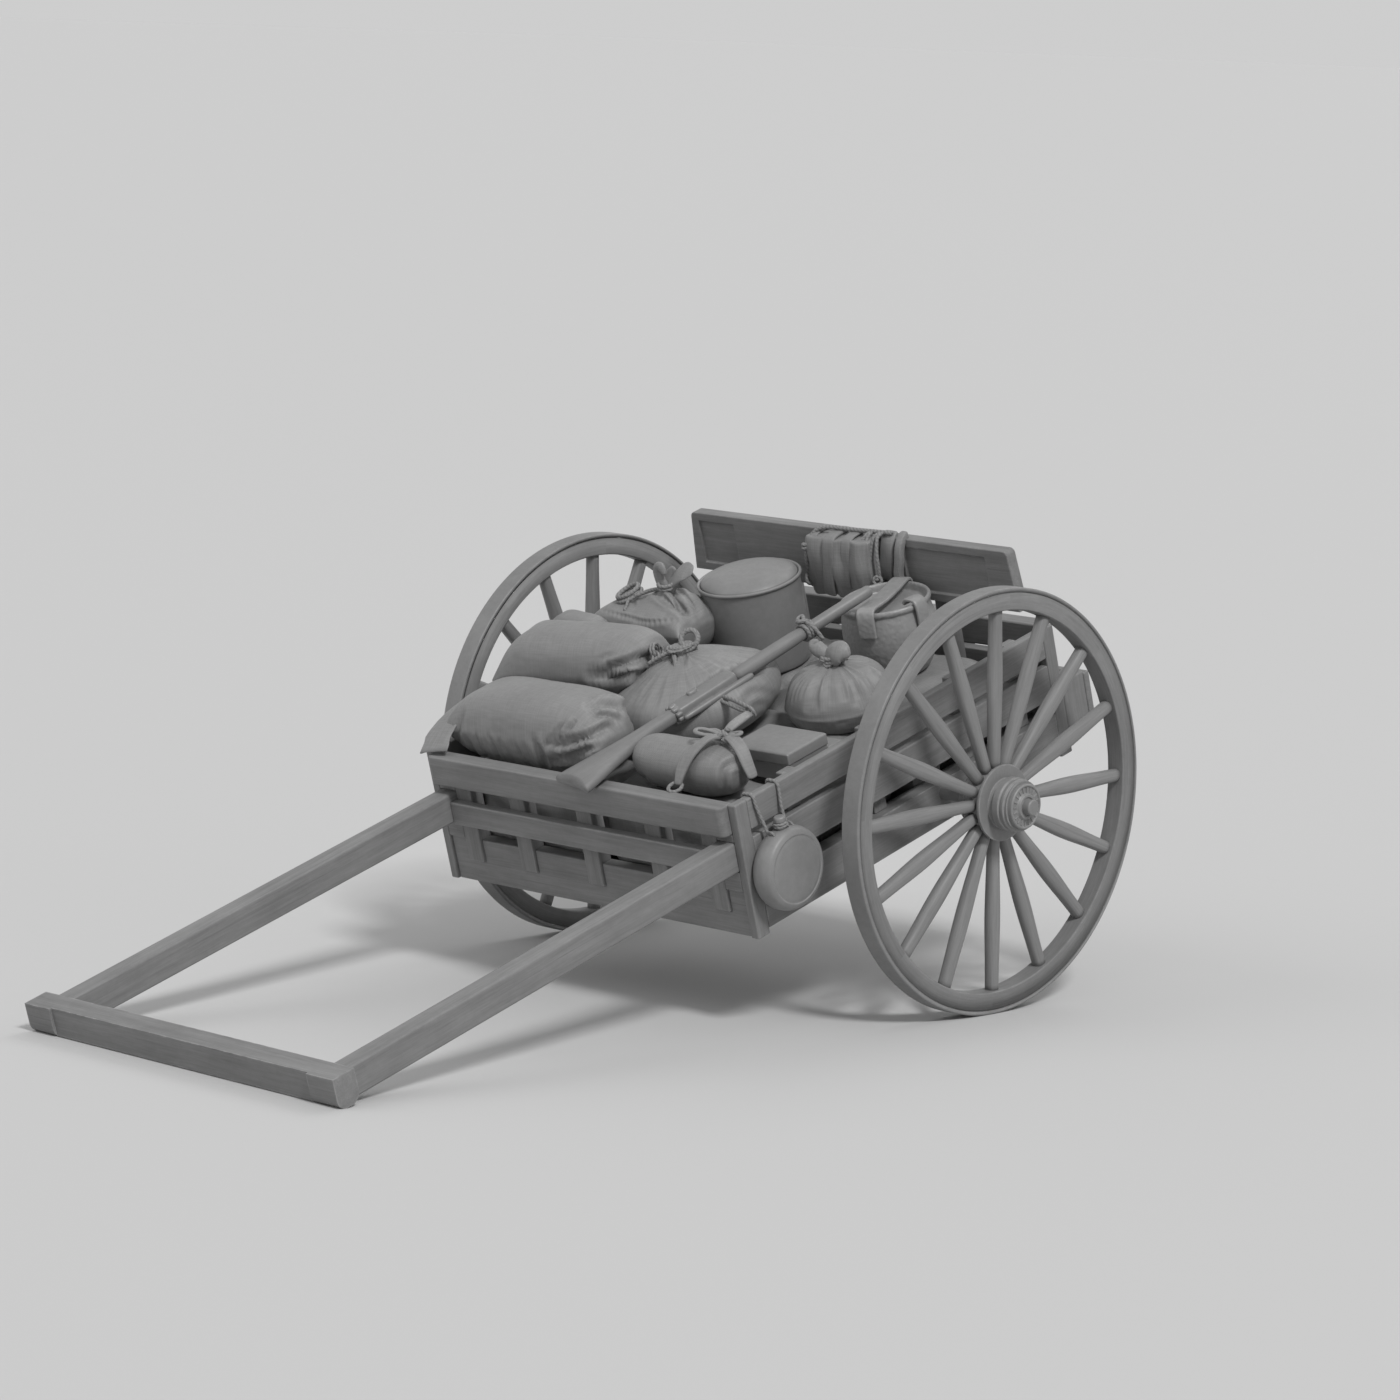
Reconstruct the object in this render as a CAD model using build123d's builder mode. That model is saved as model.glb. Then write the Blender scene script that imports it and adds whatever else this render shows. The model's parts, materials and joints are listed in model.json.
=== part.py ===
from build123d import *
import os
from math import asin, atan2, cos, hypot, sin

# A two-wheeled supply cart that is pulled by hand at its crossbar, with its load of supplies.
# All sizes are in millimetres. The cart frame has its origin in the middle of the axle, x to the
# right, y back along the bed and z up from the bed. The bed is pitched about the axle, so that
# the cart stands on its two wheels and on the ends of its crossbar.

# Wheels
wheel_radius = 600
tyre_thickness = 12
rim_width = 60
felloe_depth = 51
wheel_gap = 152
spoke_count = 16
spoke_turn = 2.9
spoke_foot_width = 30
spoke_belly_width = 48
spoke_tip_width = 38
spoke_thickness = 36
spoke_corner = 12
spoke_belly_share = 0.52

# Hubs, outwards from the cart
nave_radius = 95
nave_inner_radius = 72
nave_inner_length = 38
flange_radius = 108
flange_thickness = 9
neck_radius = 68
neck_length = 17
collar_radius = 77
collar_length = 50
collar_edge = 6
cap_radius = 64
cap_length = 14
cap_edge = 4
cap_nut_radius = 22
cap_nut_length = 26

# Axle and its timber bed
axle_radius = 20
running_clearance = 0.05
axle_end_clearance = 10
hub_side_clearance = 5
axle_collar_radius = 36
axle_collar_length = 22
axle_bed_depth = 120

# Crossbar and shafts
crossbar_reach = 2352
crossbar_depth = 76
crossbar_height = 90
crossbar_bottom = 100
crossbar_overhang = 31
crossbar_block_length = 100
crossbar_round = 30
crossbar_scoop = 8
shaft_width = 64
shaft_height = 86
shaft_bottom = 95

# Box
box_half_width = 602
box_front = 842
box_rear = 590
board_thickness = 28
rail_top = 294
rail_height = 88
end_rail_depth = 52
end_rail_round = 20
mid_rail_bottom = 90
mid_rail_height = 68
mid_rail_depth = 30
mid_board_bottom = 83
mid_board_height = 102
post_width = 60
post_depth = 48
post_spacing = 265
post_foot = -33
apron_depth = 40
apron_bottom = -101
sill_width = 54
sill_top = 35
sill_bottom = -84
stake_width = 52
stake_stations = (-560, -230, 150, 400)

# Floor
floor_top = -30
plank_thickness = 22
plank_count = 6
plank_gap = 4
bearer_width = 70
bearer_stations = (-700, -260, 220, 450)

# Tail
bracket_length = 98
bracket_bottom = -49
bracket_top = 112
bracket_width = 72
step_thickness = 25
step_bottom = -30
step_top = 104
tailboard_front = 400
tailboard_thickness = 40
tailboard_bottom = 393
tailboard_height = 182
tailboard_half_top = 614
tailboard_half_bottom = 632
tailboard_corner = 16
panel_recess = 8
panel_border = 26
panel_spans = ((-586, -446), (221, 528))
support_post_x = 300
support_post_width = 56
support_post_depth = 40
batten_height = 40

# Load: heights, lengths along the bed and rigid wares
load_level = 235
load_gap = 0.3
load_split = -500
lower_sack_round = 70
front_sack_y = -622
front_sack_depth = 230
front_sack_height = 195
back_sack_y = -365
back_sack_depth = 200
back_sack_height = 205
back_sack_turn = 15
small_sack_y = -195
small_sack_depth = 90
small_sack_height = 155
sack_edge = 70
small_sack_edge = 40
tarp_depth = 190
tarp_edge = 20
pot_y = 170
pot_radius = 150
pot_height = 268
pot_wall = 4
pot_bead = 6
lid_rise = 36
kettle_y = 250
kettle_radius = 138
kettle_height = 225
kettle_foot_radius = 96
kettle_rim = 8
bedroll_y = -650
bedroll_radius = 80
bedroll_edge = 18
tin_y = -440
tin_depth = 165
tin_height = 85
tin_edge = 10
gun_stock_length = 830
gun_barrel_length = 290
gun_stock_thickness = 48
gun_butt_width = 130
gun_butt_y = -880
gun_muzzle_y = 200
gun_wrist_width = 48
gun_wrist_at = 300
gun_fore_width = 44
gun_barrel_radius = 18
canteen_y = -692
canteen_z = 70
canteen_radius = 118
canteen_thickness = 78
canteen_edge = 26
canteen_neck_radius = 17
canteen_neck_length = 34
cord_radius = 5
cord_spread = 49
backpack_depth = 68
backpack_bottom = 395
backpack_height = 180
backpack_edge = 28

# Load: places across the bed and lengths that fill it, as shares of its half width
front_sack_x = -0.538
front_sack_length = 0.912
back_sack_x = -0.839
back_sack_length = 0.712
small_sack_x = -0.995
small_sack_length = 0.328
tarp_x = -0.75
tarp_length = 0.45
pot_x = -0.338
kettle_x = 0.478
bedroll_x = 0.573
bedroll_length = 0.62
tin_x = 0.79
tin_length = 0.4
gun_butt_x = 0.073
gun_muzzle_x = 0.469
backpack_x = 0.04
backpack_length = 0.44

# Pitch of the bed when the crossbar's rounded end blocks rest on the floor
round_reach = crossbar_reach - crossbar_round
round_height = crossbar_bottom + crossbar_round
pitch = atan2(round_height, round_reach) + asin(
    (wheel_radius - crossbar_round) / hypot(round_reach, round_height)
)

# Places that follow from the sizes above
board_inner = box_half_width - board_thickness
shaft_inner = board_inner - shaft_width
crossbar_half_length = board_inner + crossbar_overhang
shaft_top = shaft_bottom + shaft_height
sill_inner = box_half_width - sill_width
rail_bottom = rail_top - rail_height
front_post_face = -box_front + mid_rail_depth
front_inside = front_post_face + post_depth
rear_post_face = box_rear - mid_rail_depth
rear_inside = rear_post_face - post_depth
step_rear = rear_post_face + bracket_length + step_thickness
tailboard_rear = tailboard_front + tailboard_thickness
support_post_rear = tailboard_rear + support_post_depth
felloe_radius = wheel_radius - tyre_thickness
felloe_inner = felloe_radius - felloe_depth
rim_inner_face = box_half_width + wheel_gap
rim_outer_face = rim_inner_face + rim_width
rim_middle = rim_inner_face + rim_width / 2
nave_start = rim_inner_face - nave_inner_length
flange_end = rim_outer_face + flange_thickness
neck_end = flange_end + neck_length
collar_end = neck_end + collar_length
cap_end = collar_end + cap_length
axle_half_length = collar_end - axle_end_clearance
front_reach = crossbar_reach * cos(pitch) + (crossbar_bottom + crossbar_height) * sin(pitch)
rear_reach = step_rear * cos(pitch) - step_bottom * sin(pitch)
axle_middle = (0, (front_reach - rear_reach) / 2, wheel_radius)

bed = Plane(origin=axle_middle, x_dir=(1, 0, 0), z_dir=(0, -sin(pitch), cos(pitch)))
axle_line = Axis(axle_middle, (1, 0, 0))
sides = ((-1, "left"), (1, "right"))

os.makedirs("parts", exist_ok=True)


def write(builder, name):
    """Label a finished piece and write its STEP file."""
    builder.part.label = name
    export_step(builder.part, f"parts/{name}.step")


def timber(x, y, z, mode=Mode.ADD):
    """A squared timber between pairs of places along the cart frame's axes."""
    with Locations((sum(x) / 2, sum(y) / 2, sum(z) / 2)):
        return Box(abs(x[1] - x[0]), abs(y[1] - y[0]), abs(z[1] - z[0]), mode=mode)


def on_side(side, inner, outer):
    """A pair of places across the cart, on its left or right side."""
    return (side * inner, side * outer)


def axle_hole():
    """The bore that the axle passes through."""
    hole_length = 2 * rim_inner_face
    Cylinder(axle_radius + running_clearance, hole_length, rotation=(0, 90, 0), mode=Mode.SUBTRACT)


def turned(points):
    """Turn a closed profile of (radius, place along x) about the axle's line."""
    with BuildSketch(Plane(axle_middle, x_dir=(0, 0, 1), z_dir=(0, 1, 0))) as profile:
        with BuildLine():
            Polyline(*points, close=True)
        make_face()
    revolve(profile.sketch, axis=axle_line)


def upright(place):
    """The plane across the cart through a place on the bed, with its height as y."""
    origin = bed.from_local_coords(Vector(place[0], place[1], 0))
    return Plane(origin, x_dir=(1, 0, 0), z_dir=-bed.y_dir)


def stand_up(profile, place):
    """Turn a half profile about the bed's normal at a place."""
    revolve(profile.sketch, axis=Axis(upright(place).origin, bed.z_dir))


# Axle with a collar inside each hub
with BuildPart(bed) as axle:
    Cylinder(axle_radius, 2 * axle_half_length, rotation=(0, 90, 0))
    for side, hand in sides:
        collar_middle = nave_start - hub_side_clearance - axle_collar_length / 2
        with Locations((side * collar_middle, 0, 0)):
            Cylinder(axle_collar_radius, axle_collar_length, rotation=(0, 90, 0))
write(axle, "axle")

# Timber bed that the axle passes through, under the shafts
with BuildPart(bed) as axle_bed:
    timber((-sill_inner, sill_inner), (-axle_bed_depth / 2, axle_bed_depth / 2), (floor_top, shaft_bottom))
    axle_hole()
write(axle_bed, "axle_bed")

# One spoke standing along z, from the nave to the rim
with BuildPart() as spoke:
    spoke_belly = nave_radius + spoke_belly_share * (felloe_inner - nave_radius)
    # columns: distance from the hub's middle, width
    for reach, width in (
        (nave_radius * 0.9, spoke_foot_width),
        (spoke_belly, spoke_belly_width),
        (felloe_inner + tyre_thickness, spoke_tip_width),
    ):
        with BuildSketch(Plane.XY.offset(reach)):
            RectangleRounded(spoke_thickness, width, spoke_corner)
    loft(ruled=True)

# Wheels
for side, hand in sides:
    wheel_middle = Plane(
        origin=(side * rim_middle, axle_middle[1], axle_middle[2]),
        x_dir=(0, 0, 1),
        z_dir=(side, 0, 0),
    )

    with BuildPart(wheel_middle) as tyre:
        Cylinder(wheel_radius, rim_width)
        Cylinder(felloe_radius, rim_width, mode=Mode.SUBTRACT)
    write(tyre, f"tyre_{hand}")

    with BuildPart(wheel_middle) as felloe:
        Cylinder(felloe_radius, rim_width)
        Cylinder(felloe_inner, rim_width, mode=Mode.SUBTRACT)
    write(felloe, f"felloe_{hand}")

    with BuildPart(Plane(wheel_middle.origin, x_dir=(side, 0, 0), z_dir=(0, 0, 1))) as spokes:
        for turn in range(spoke_count):
            spoke_angle = 360 * turn / spoke_count + side * spoke_turn
            add(spoke.part, rotation=(spoke_angle, 0, 0))
    with BuildPart(wheel_middle) as spoke_space:
        Cylinder(felloe_inner, rim_width)
        Cylinder(nave_radius, rim_width, mode=Mode.SUBTRACT)
    with BuildPart() as fitted_spokes:
        add(spokes.part)
        add(spoke_space.part, mode=Mode.INTERSECT)
    write(fitted_spokes, f"spokes_{hand}")

    bore = axle_radius + running_clearance
    with BuildPart() as hub:
        turned(
            (
                (bore, side * nave_start),
                (nave_inner_radius, side * nave_start),
                (nave_radius, side * rim_inner_face),
                (nave_radius, side * rim_outer_face),
                (flange_radius, side * rim_outer_face),
                (flange_radius, side * flange_end),
                (neck_radius, side * flange_end),
                (neck_radius, side * neck_end),
                (collar_radius - collar_edge, side * neck_end),
                (collar_radius, side * (neck_end + collar_edge)),
                (collar_radius, side * (collar_end - collar_edge)),
                (collar_radius - collar_edge, side * collar_end),
                (bore, side * collar_end),
            )
        )
    write(hub, f"hub_{hand}")

    with BuildPart() as hub_cap:
        turned(
            (
                (0, side * collar_end),
                (cap_radius, side * collar_end),
                (cap_radius, side * (cap_end - cap_edge)),
                (cap_radius - cap_edge, side * cap_end),
                (cap_nut_radius, side * cap_end),
                (cap_nut_radius, side * (cap_end + cap_nut_length)),
                (0, side * (cap_end + cap_nut_length)),
            )
        )
    write(hub_cap, f"hub_cap_{hand}")

# Shafts, which run on through the box as its side rails
for side, hand in sides:
    with BuildPart(bed) as shaft:
        timber(
            on_side(side, shaft_inner, board_inner),
            (-crossbar_reach + crossbar_depth, rear_post_face),
            (shaft_bottom, shaft_top),
        )
    write(shaft, f"shaft_{hand}")

# Crossbar, slimmer between its end blocks
with BuildPart(bed) as crossbar:
    bar_top = crossbar_bottom + crossbar_height
    bar_back = -crossbar_reach + crossbar_depth
    block_inner = crossbar_half_length - crossbar_block_length
    for side, hand in sides:
        timber(
            on_side(side, block_inner, crossbar_half_length),
            (-crossbar_reach, bar_back),
            (crossbar_bottom, bar_top),
        )
        low_edges = crossbar.edges(Select.LAST).filter_by(Axis.X).sort_by(Axis.Z)[:2]
        fillet(low_edges, crossbar_round)
    timber(
        (-block_inner, block_inner),
        (-crossbar_reach + crossbar_scoop, bar_back),
        (crossbar_bottom + crossbar_scoop, bar_top),
    )
write(crossbar, "crossbar")

# Front and rear ends of the box
# columns: name, way out from the axle, end rail's outer face, posts' outer face, posts' inner face
ends = (
    ("front", -1, -box_front, front_post_face, front_inside),
    ("rear", 1, box_rear, rear_post_face, rear_inside),
)
for end, out, rail_face, post_face, inside in ends:

    with BuildPart(bed) as top_rail:
        rail_back = rail_face - out * end_rail_depth
        timber((-board_inner, board_inner), (rail_face, rail_back), (rail_bottom, rail_top))
        upright_edges = top_rail.edges().filter_by(Axis(bed.origin, bed.z_dir))
        fillet(upright_edges.sort_by(Axis.Y, reverse=out > 0)[:2], end_rail_round)
    write(top_rail, f"{end}_top_rail")

    with BuildPart(bed) as mid_rail:
        timber(
            (-shaft_inner, shaft_inner),
            (rail_face, post_face),
            (mid_rail_bottom, mid_rail_bottom + mid_rail_height),
        )
    write(mid_rail, f"{end}_mid_rail")

    post_row = [-post_spacing, 0, post_spacing, -shaft_inner + post_width / 2, shaft_inner - post_width / 2]
    with BuildPart(bed) as posts:
        for post_x in post_row:
            across = (post_x - post_width / 2, post_x + post_width / 2)
            timber(across, (post_face, inside), (post_foot, rail_bottom))
    write(posts, f"{end}_posts")

    with BuildPart(bed) as apron:
        timber((-board_inner, board_inner), (inside, inside + out * apron_depth), (apron_bottom, sill_top))
        for post_x in post_row:
            timber(
                (post_x - post_width / 2, post_x + post_width / 2),
                (inside, inside + out * apron_depth),
                (post_foot, sill_top),
                mode=Mode.SUBTRACT,
            )
    write(apron, f"{end}_apron")

# Blocks above and below the shafts, and corner posts
with BuildPart(bed) as shaft_blocks:
    for end, out, rail_face, post_face, inside in ends:
        for side, hand in sides:
            across = on_side(side, shaft_inner, board_inner)
            timber(across, (post_face, inside), (sill_top, shaft_bottom))
            timber(across, (post_face, inside), (shaft_top, rail_bottom))
write(shaft_blocks, "shaft_blocks")

with BuildPart(bed) as corner_posts:
    for end, out, rail_face, post_face, inside in ends:
        for side, hand in sides:
            across = on_side(side, board_inner, box_half_width)
            timber(across, (post_face, inside), (apron_bottom, rail_top))
write(corner_posts, "corner_posts")

# Sides of the box
box_run = (front_inside, rear_inside)
for side, hand in sides:
    across = on_side(side, board_inner, box_half_width)

    with BuildPart(bed) as side_rail:
        timber(across, box_run, (rail_bottom, rail_top))
    write(side_rail, f"side_top_rail_{hand}")

    with BuildPart(bed) as side_board:
        timber(across, box_run, (mid_board_bottom, mid_board_bottom + mid_board_height))
    write(side_board, f"side_mid_board_{hand}")

    with BuildPart(bed) as sill:
        timber(on_side(side, sill_inner, box_half_width), box_run, (sill_bottom, sill_top))
        axle_hole()
    write(sill, f"sill_{hand}")

# Short stakes behind the side boards, below and above the shafts
with BuildPart(bed) as stakes:
    for side, hand in sides:
        across = on_side(side, sill_inner, board_inner)
        for station in stake_stations:
            along = (station - stake_width / 2, station + stake_width / 2)
            timber(across, along, (sill_top, shaft_bottom))
            timber(across, along, (shaft_top, rail_top))
write(stakes, "stakes")

# Floor
plank_bottom = floor_top - plank_thickness
with BuildPart(bed) as floor_bearers:
    for station in bearer_stations:
        along = (station - bearer_width / 2, station + bearer_width / 2)
        timber((-sill_inner, sill_inner), along, (sill_bottom, plank_bottom))
write(floor_bearers, "floor_bearers")

with BuildPart(bed) as floor_planks:
    plank_pitch = 2 * sill_inner / plank_count
    for plank in range(plank_count):
        plank_left = -sill_inner + plank * plank_pitch
        timber(
            (plank_left + plank_gap / 2, plank_left + plank_pitch - plank_gap / 2),
            (front_inside + plank_gap / 2, rear_inside - plank_gap / 2),
            (plank_bottom, floor_top),
        )
write(floor_planks, "floor_planks")

# Tail step on its two brackets
with BuildPart(bed) as tail_brackets:
    for side, hand in sides:
        timber(
            on_side(side, box_half_width - bracket_width, box_half_width),
            (rear_post_face, rear_post_face + bracket_length),
            (bracket_bottom, bracket_top),
        )
write(tail_brackets, "tail_brackets")

with BuildPart(bed) as tail_step:
    timber(
        (-box_half_width, box_half_width),
        (rear_post_face + bracket_length, step_rear),
        (step_bottom, step_top),
    )
write(tail_step, "tail_step")

# Tailboard on two posts that stand on the floor against a batten
tailboard_top = tailboard_bottom + tailboard_height
with BuildPart(bed) as tailboard:
    with BuildSketch(upright((0, tailboard_front))) as board_outline:
        with BuildLine():
            Polyline(
                (-tailboard_half_bottom, tailboard_bottom),
                (tailboard_half_bottom, tailboard_bottom),
                (tailboard_half_top, tailboard_top),
                (-tailboard_half_top, tailboard_top),
                close=True,
            )
        make_face()
        fillet(board_outline.vertices().group_by(Axis.Y)[-1], tailboard_corner)
    extrude(amount=-tailboard_thickness)
    for panel_span in panel_spans:
        timber(
            panel_span,
            (tailboard_front, tailboard_front + panel_recess),
            (tailboard_bottom + panel_border, tailboard_top - panel_border),
            mode=Mode.SUBTRACT,
        )
write(tailboard, "tailboard")

with BuildPart(bed) as tailboard_posts:
    for side, hand in sides:
        post_middle = side * support_post_x
        timber(
            (post_middle - support_post_width / 2, post_middle + support_post_width / 2),
            (tailboard_rear, support_post_rear),
            (floor_top, tailboard_top - panel_border),
        )
write(tailboard_posts, "tailboard_posts")

with BuildPart(bed) as tail_batten:
    timber(
        (-board_inner, board_inner),
        (support_post_rear, rear_inside),
        (shaft_top, shaft_top + batten_height),
    )
write(tail_batten, "tail_batten")

# Sacks that fill the box up to the load's level
# columns: y from, y to, bottom
half_gap = plank_gap / 2
bed_half = axle_bed_depth / 2
with BuildPart(bed) as lower_sacks:
    for y_from, y_to, sack_bottom in (
        (front_inside + plank_gap, load_split - half_gap, floor_top),
        (load_split + half_gap, -bed_half - plank_gap, floor_top),
        (-bed_half + half_gap, bed_half - half_gap, shaft_bottom),
        (bed_half + plank_gap, tailboard_rear - plank_gap, floor_top),
    ):
        for side, hand in sides:
            across = on_side(side, half_gap, shaft_inner - 2 * plank_gap)
            timber(across, (y_from, y_to), (sack_bottom, load_level))
            fillet(lower_sacks.edges(Select.LAST), min(lower_sack_round, (y_to - y_from) / 3))
write(lower_sacks, "lower_sacks")

# Sacks, box and pack with rounded edges
# columns: name, share across, y, bottom, length share, depth, height, edge, turn about z
tarp_height = rail_top - load_level
pack_y = tailboard_front - load_gap - backpack_depth / 2
for name, across, y, bottom, length, depth, height, edge, turn in (
    (
        "folded_tarp",
        *(tarp_x, back_sack_y, load_level),
        *(tarp_length, tarp_depth, tarp_height, tarp_edge, back_sack_turn),
    ),
    (
        "flour_sack_front",
        *(front_sack_x, front_sack_y, load_level),
        *(front_sack_length, front_sack_depth, front_sack_height, sack_edge, 0),
    ),
    (
        "flour_sack_back",
        *(back_sack_x, back_sack_y, rail_top),
        *(back_sack_length, back_sack_depth, back_sack_height, sack_edge, back_sack_turn),
    ),
    (
        "small_sack",
        *(small_sack_x, small_sack_y, rail_top),
        *(small_sack_length, small_sack_depth, small_sack_height, small_sack_edge, 0),
    ),
    ("tin_box", tin_x, tin_y, load_level, tin_length, tin_depth, tin_height, tin_edge, 0),
    (
        "backpack",
        *(backpack_x, pack_y, backpack_bottom),
        *(backpack_length, backpack_depth, backpack_height, backpack_edge, 0),
    ),
):
    with BuildPart(bed) as packed:
        with Locations((across * sill_inner, y, bottom + height / 2)):
            Box(length * sill_inner, depth, height, rotation=(0, 0, turn))
        fillet(packed.edges(), edge)
    write(packed, name)

# Sacks gathered and tied at the neck, with radii as shares of the bed's half width
# columns: name, share across, y, foot, belly and neck radius, tuft radius, belly, neck and tuft height
for name, across, y, foot, belly, neck, tuft, belly_height, neck_height, tuft_height in (
    ("tied_bag", -0.795, -10, 0.182, 0.26, 0.062, 0.102, 115, 270, 330),
    ("round_sack", -0.03, -285, 0.25, 0.415, 0.077, 0.091, 78, 150, 222),
    ("tied_sack", 0.657, -95, 0.2, 0.292, 0.062, 0.106, 85, 185, 220),
):
    place = (across * sill_inner, y)
    foot_point = (foot * sill_inner, load_level)
    neck_point = (neck * sill_inner, load_level + neck_height)
    with BuildPart() as tied:
        with BuildSketch(upright(place)) as profile:
            with BuildLine():
                Spline(foot_point, (belly * sill_inner, load_level + belly_height), neck_point)
                Polyline(
                    neck_point,
                    (tuft * sill_inner, load_level + tuft_height),
                    (0, load_level + tuft_height),
                    (0, load_level),
                    foot_point,
                )
            make_face()
        stand_up(profile, place)
    write(tied, name)

# Cooking pot and its domed lid
pot_place = (pot_x * sill_inner, pot_y)
pot_top = load_level + pot_height
with BuildPart() as cook_pot:
    with BuildSketch(upright(pot_place)) as profile:
        with BuildLine():
            Polyline(
                (0, load_level),
                (pot_radius - pot_bead, load_level),
                (pot_radius, load_level + pot_bead),
                (pot_radius, pot_top - 2 * pot_bead),
                (pot_radius + pot_bead, pot_top - pot_bead),
                (pot_radius, pot_top),
                (0, pot_top),
                close=True,
            )
        make_face()
    stand_up(profile, pot_place)
write(cook_pot, "cook_pot")

with BuildPart() as pot_lid:
    with BuildSketch(upright(pot_place)) as profile:
        with BuildLine():
            lid_radius = pot_radius - pot_wall
            lid_start = (lid_radius, pot_top)
            lid_peak = (0, pot_top + lid_rise)
            dome_radius = (lid_radius**2 + lid_rise**2) / (2 * lid_rise)
            dome_half_angle = asin(lid_radius / dome_radius) / 2
            dome_low = lid_peak[1] - dome_radius
            lid_middle = (dome_radius * sin(dome_half_angle), dome_low + dome_radius * cos(dome_half_angle))
            ThreePointArc(lid_start, lid_middle, lid_peak)
            Polyline(lid_peak, (0, pot_top), lid_start)
        make_face()
    stand_up(profile, pot_place)
write(pot_lid, "pot_lid")

# Kettle
kettle_place = (kettle_x * sill_inner, kettle_y)
kettle_top = load_level + kettle_height
with BuildPart() as kettle:
    with BuildSketch(upright(kettle_place)) as profile:
        with BuildLine():
            shoulder = (kettle_radius - 2 * kettle_rim, kettle_top - 3 * kettle_rim)
            belly = (kettle_radius, load_level + kettle_height / 2)
            ThreePointArc((kettle_foot_radius, load_level), belly, shoulder)
            Polyline(
                shoulder,
                (kettle_radius - kettle_rim, kettle_top - kettle_rim),
                (kettle_radius - kettle_rim, kettle_top),
                (0, kettle_top),
                (0, load_level),
                (kettle_foot_radius, load_level),
            )
        make_face()
    stand_up(profile, kettle_place)
write(kettle, "kettle")

# Bedroll across the cart
with BuildPart(bed) as bedroll:
    with Locations((bedroll_x * sill_inner, bedroll_y, load_level + bedroll_radius)):
        Cylinder(bedroll_radius, bedroll_length * sill_inner, rotation=(0, 90, 0))
    fillet(bedroll.edges().filter_by(GeomType.CIRCLE), bedroll_edge)
write(bedroll, "bedroll")

# Long gun, flat on its side, from the front rail's edge to the kettle's rim
rest_run = kettle_y - (kettle_radius - kettle_rim) + box_front
rest_rise = kettle_top - rail_top
half_stock = gun_stock_thickness / 2
gun_rise = atan2(rest_rise, rest_run) - asin((half_stock - gun_barrel_radius) / hypot(rest_run, rest_rise))
gun_yaw = atan2((gun_muzzle_x - gun_butt_x) * sill_inner, gun_muzzle_y - gun_butt_y)
gun_pitch = pitch + gun_rise
gun_lift = half_stock + load_gap
butt_ahead = gun_butt_y + box_front
gun_start = bed.from_local_coords(
    Vector(
        gun_butt_x * sill_inner,
        -box_front - gun_lift * sin(gun_rise) + butt_ahead * cos(gun_rise),
        rail_top + gun_lift * cos(gun_rise) + butt_ahead * sin(gun_rise),
    )
)
gun_plane = Plane(
    gun_start,
    x_dir=(sin(gun_yaw), cos(gun_yaw) * cos(gun_pitch), cos(gun_yaw) * sin(gun_pitch)),
    z_dir=(0, -sin(gun_pitch), cos(gun_pitch)),
)
with BuildPart() as gun_stock:
    with BuildSketch(gun_plane):
        with BuildLine():
            Polyline(
                (0, -0.62 * gun_butt_width),
                (gun_wrist_at, -gun_wrist_width / 2),
                (gun_stock_length, -gun_fore_width / 2),
                (gun_stock_length, gun_fore_width / 2),
                (gun_wrist_at, gun_wrist_width / 2),
                (0, 0.38 * gun_butt_width),
                close=True,
            )
        make_face()
    extrude(amount=half_stock, both=True)
write(gun_stock, "gun_stock")

with BuildPart(gun_plane) as gun_barrel:
    with Locations((gun_stock_length + gun_barrel_length / 2, 0, 0)):
        Cylinder(gun_barrel_radius, gun_barrel_length, rotation=(0, 90, 0))
write(gun_barrel, "gun_barrel")

# Canteen against the right side and the two cords that hold it to the top rail
canteen_x = box_half_width + load_gap + canteen_thickness / 2
with BuildPart(bed) as canteen:
    with Locations((canteen_x, canteen_y, canteen_z)):
        Cylinder(canteen_radius, canteen_thickness, rotation=(0, 90, 0))
    fillet(canteen.edges().filter_by(GeomType.CIRCLE), canteen_edge)
    with Locations((canteen_x, canteen_y, canteen_z + canteen_radius)):
        Cylinder(canteen_neck_radius, 2 * canteen_neck_length)
write(canteen, "canteen")

cord_over = rail_top + cord_radius + load_gap
cord_in = board_inner - cord_radius - load_gap
cord_out = box_half_width + cord_radius + load_gap
cord_low = canteen_z + canteen_radius
with BuildPart() as canteen_cords:
    for spread in (-cord_spread, cord_spread):
        cord_points = [
            bed.from_local_coords(Vector(x, canteen_y + spread, z))
            for x, z in (
                (cord_in, rail_bottom),
                (cord_in, cord_over),
                (cord_out, cord_over),
                (cord_out, cord_low),
            )
        ]
        with BuildLine() as cord_path:
            FilletPolyline(*cord_points, radius=cord_radius + load_gap)
        with BuildSketch(Plane(cord_points[0], z_dir=bed.z_dir)) as cord_section:
            Circle(cord_radius)
        sweep(cord_section.sketch, path=cord_path.line)
write(canteen_cords, "canteen_cords")
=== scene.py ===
"""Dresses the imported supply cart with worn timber, iron, filled sacks, bedding and cookware."""

import json
import math
import random

import bmesh
import bpy
from bpy.props import FloatProperty, FloatVectorProperty, IntProperty, PointerProperty
from mathutils import Matrix, Vector, noise


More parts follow.
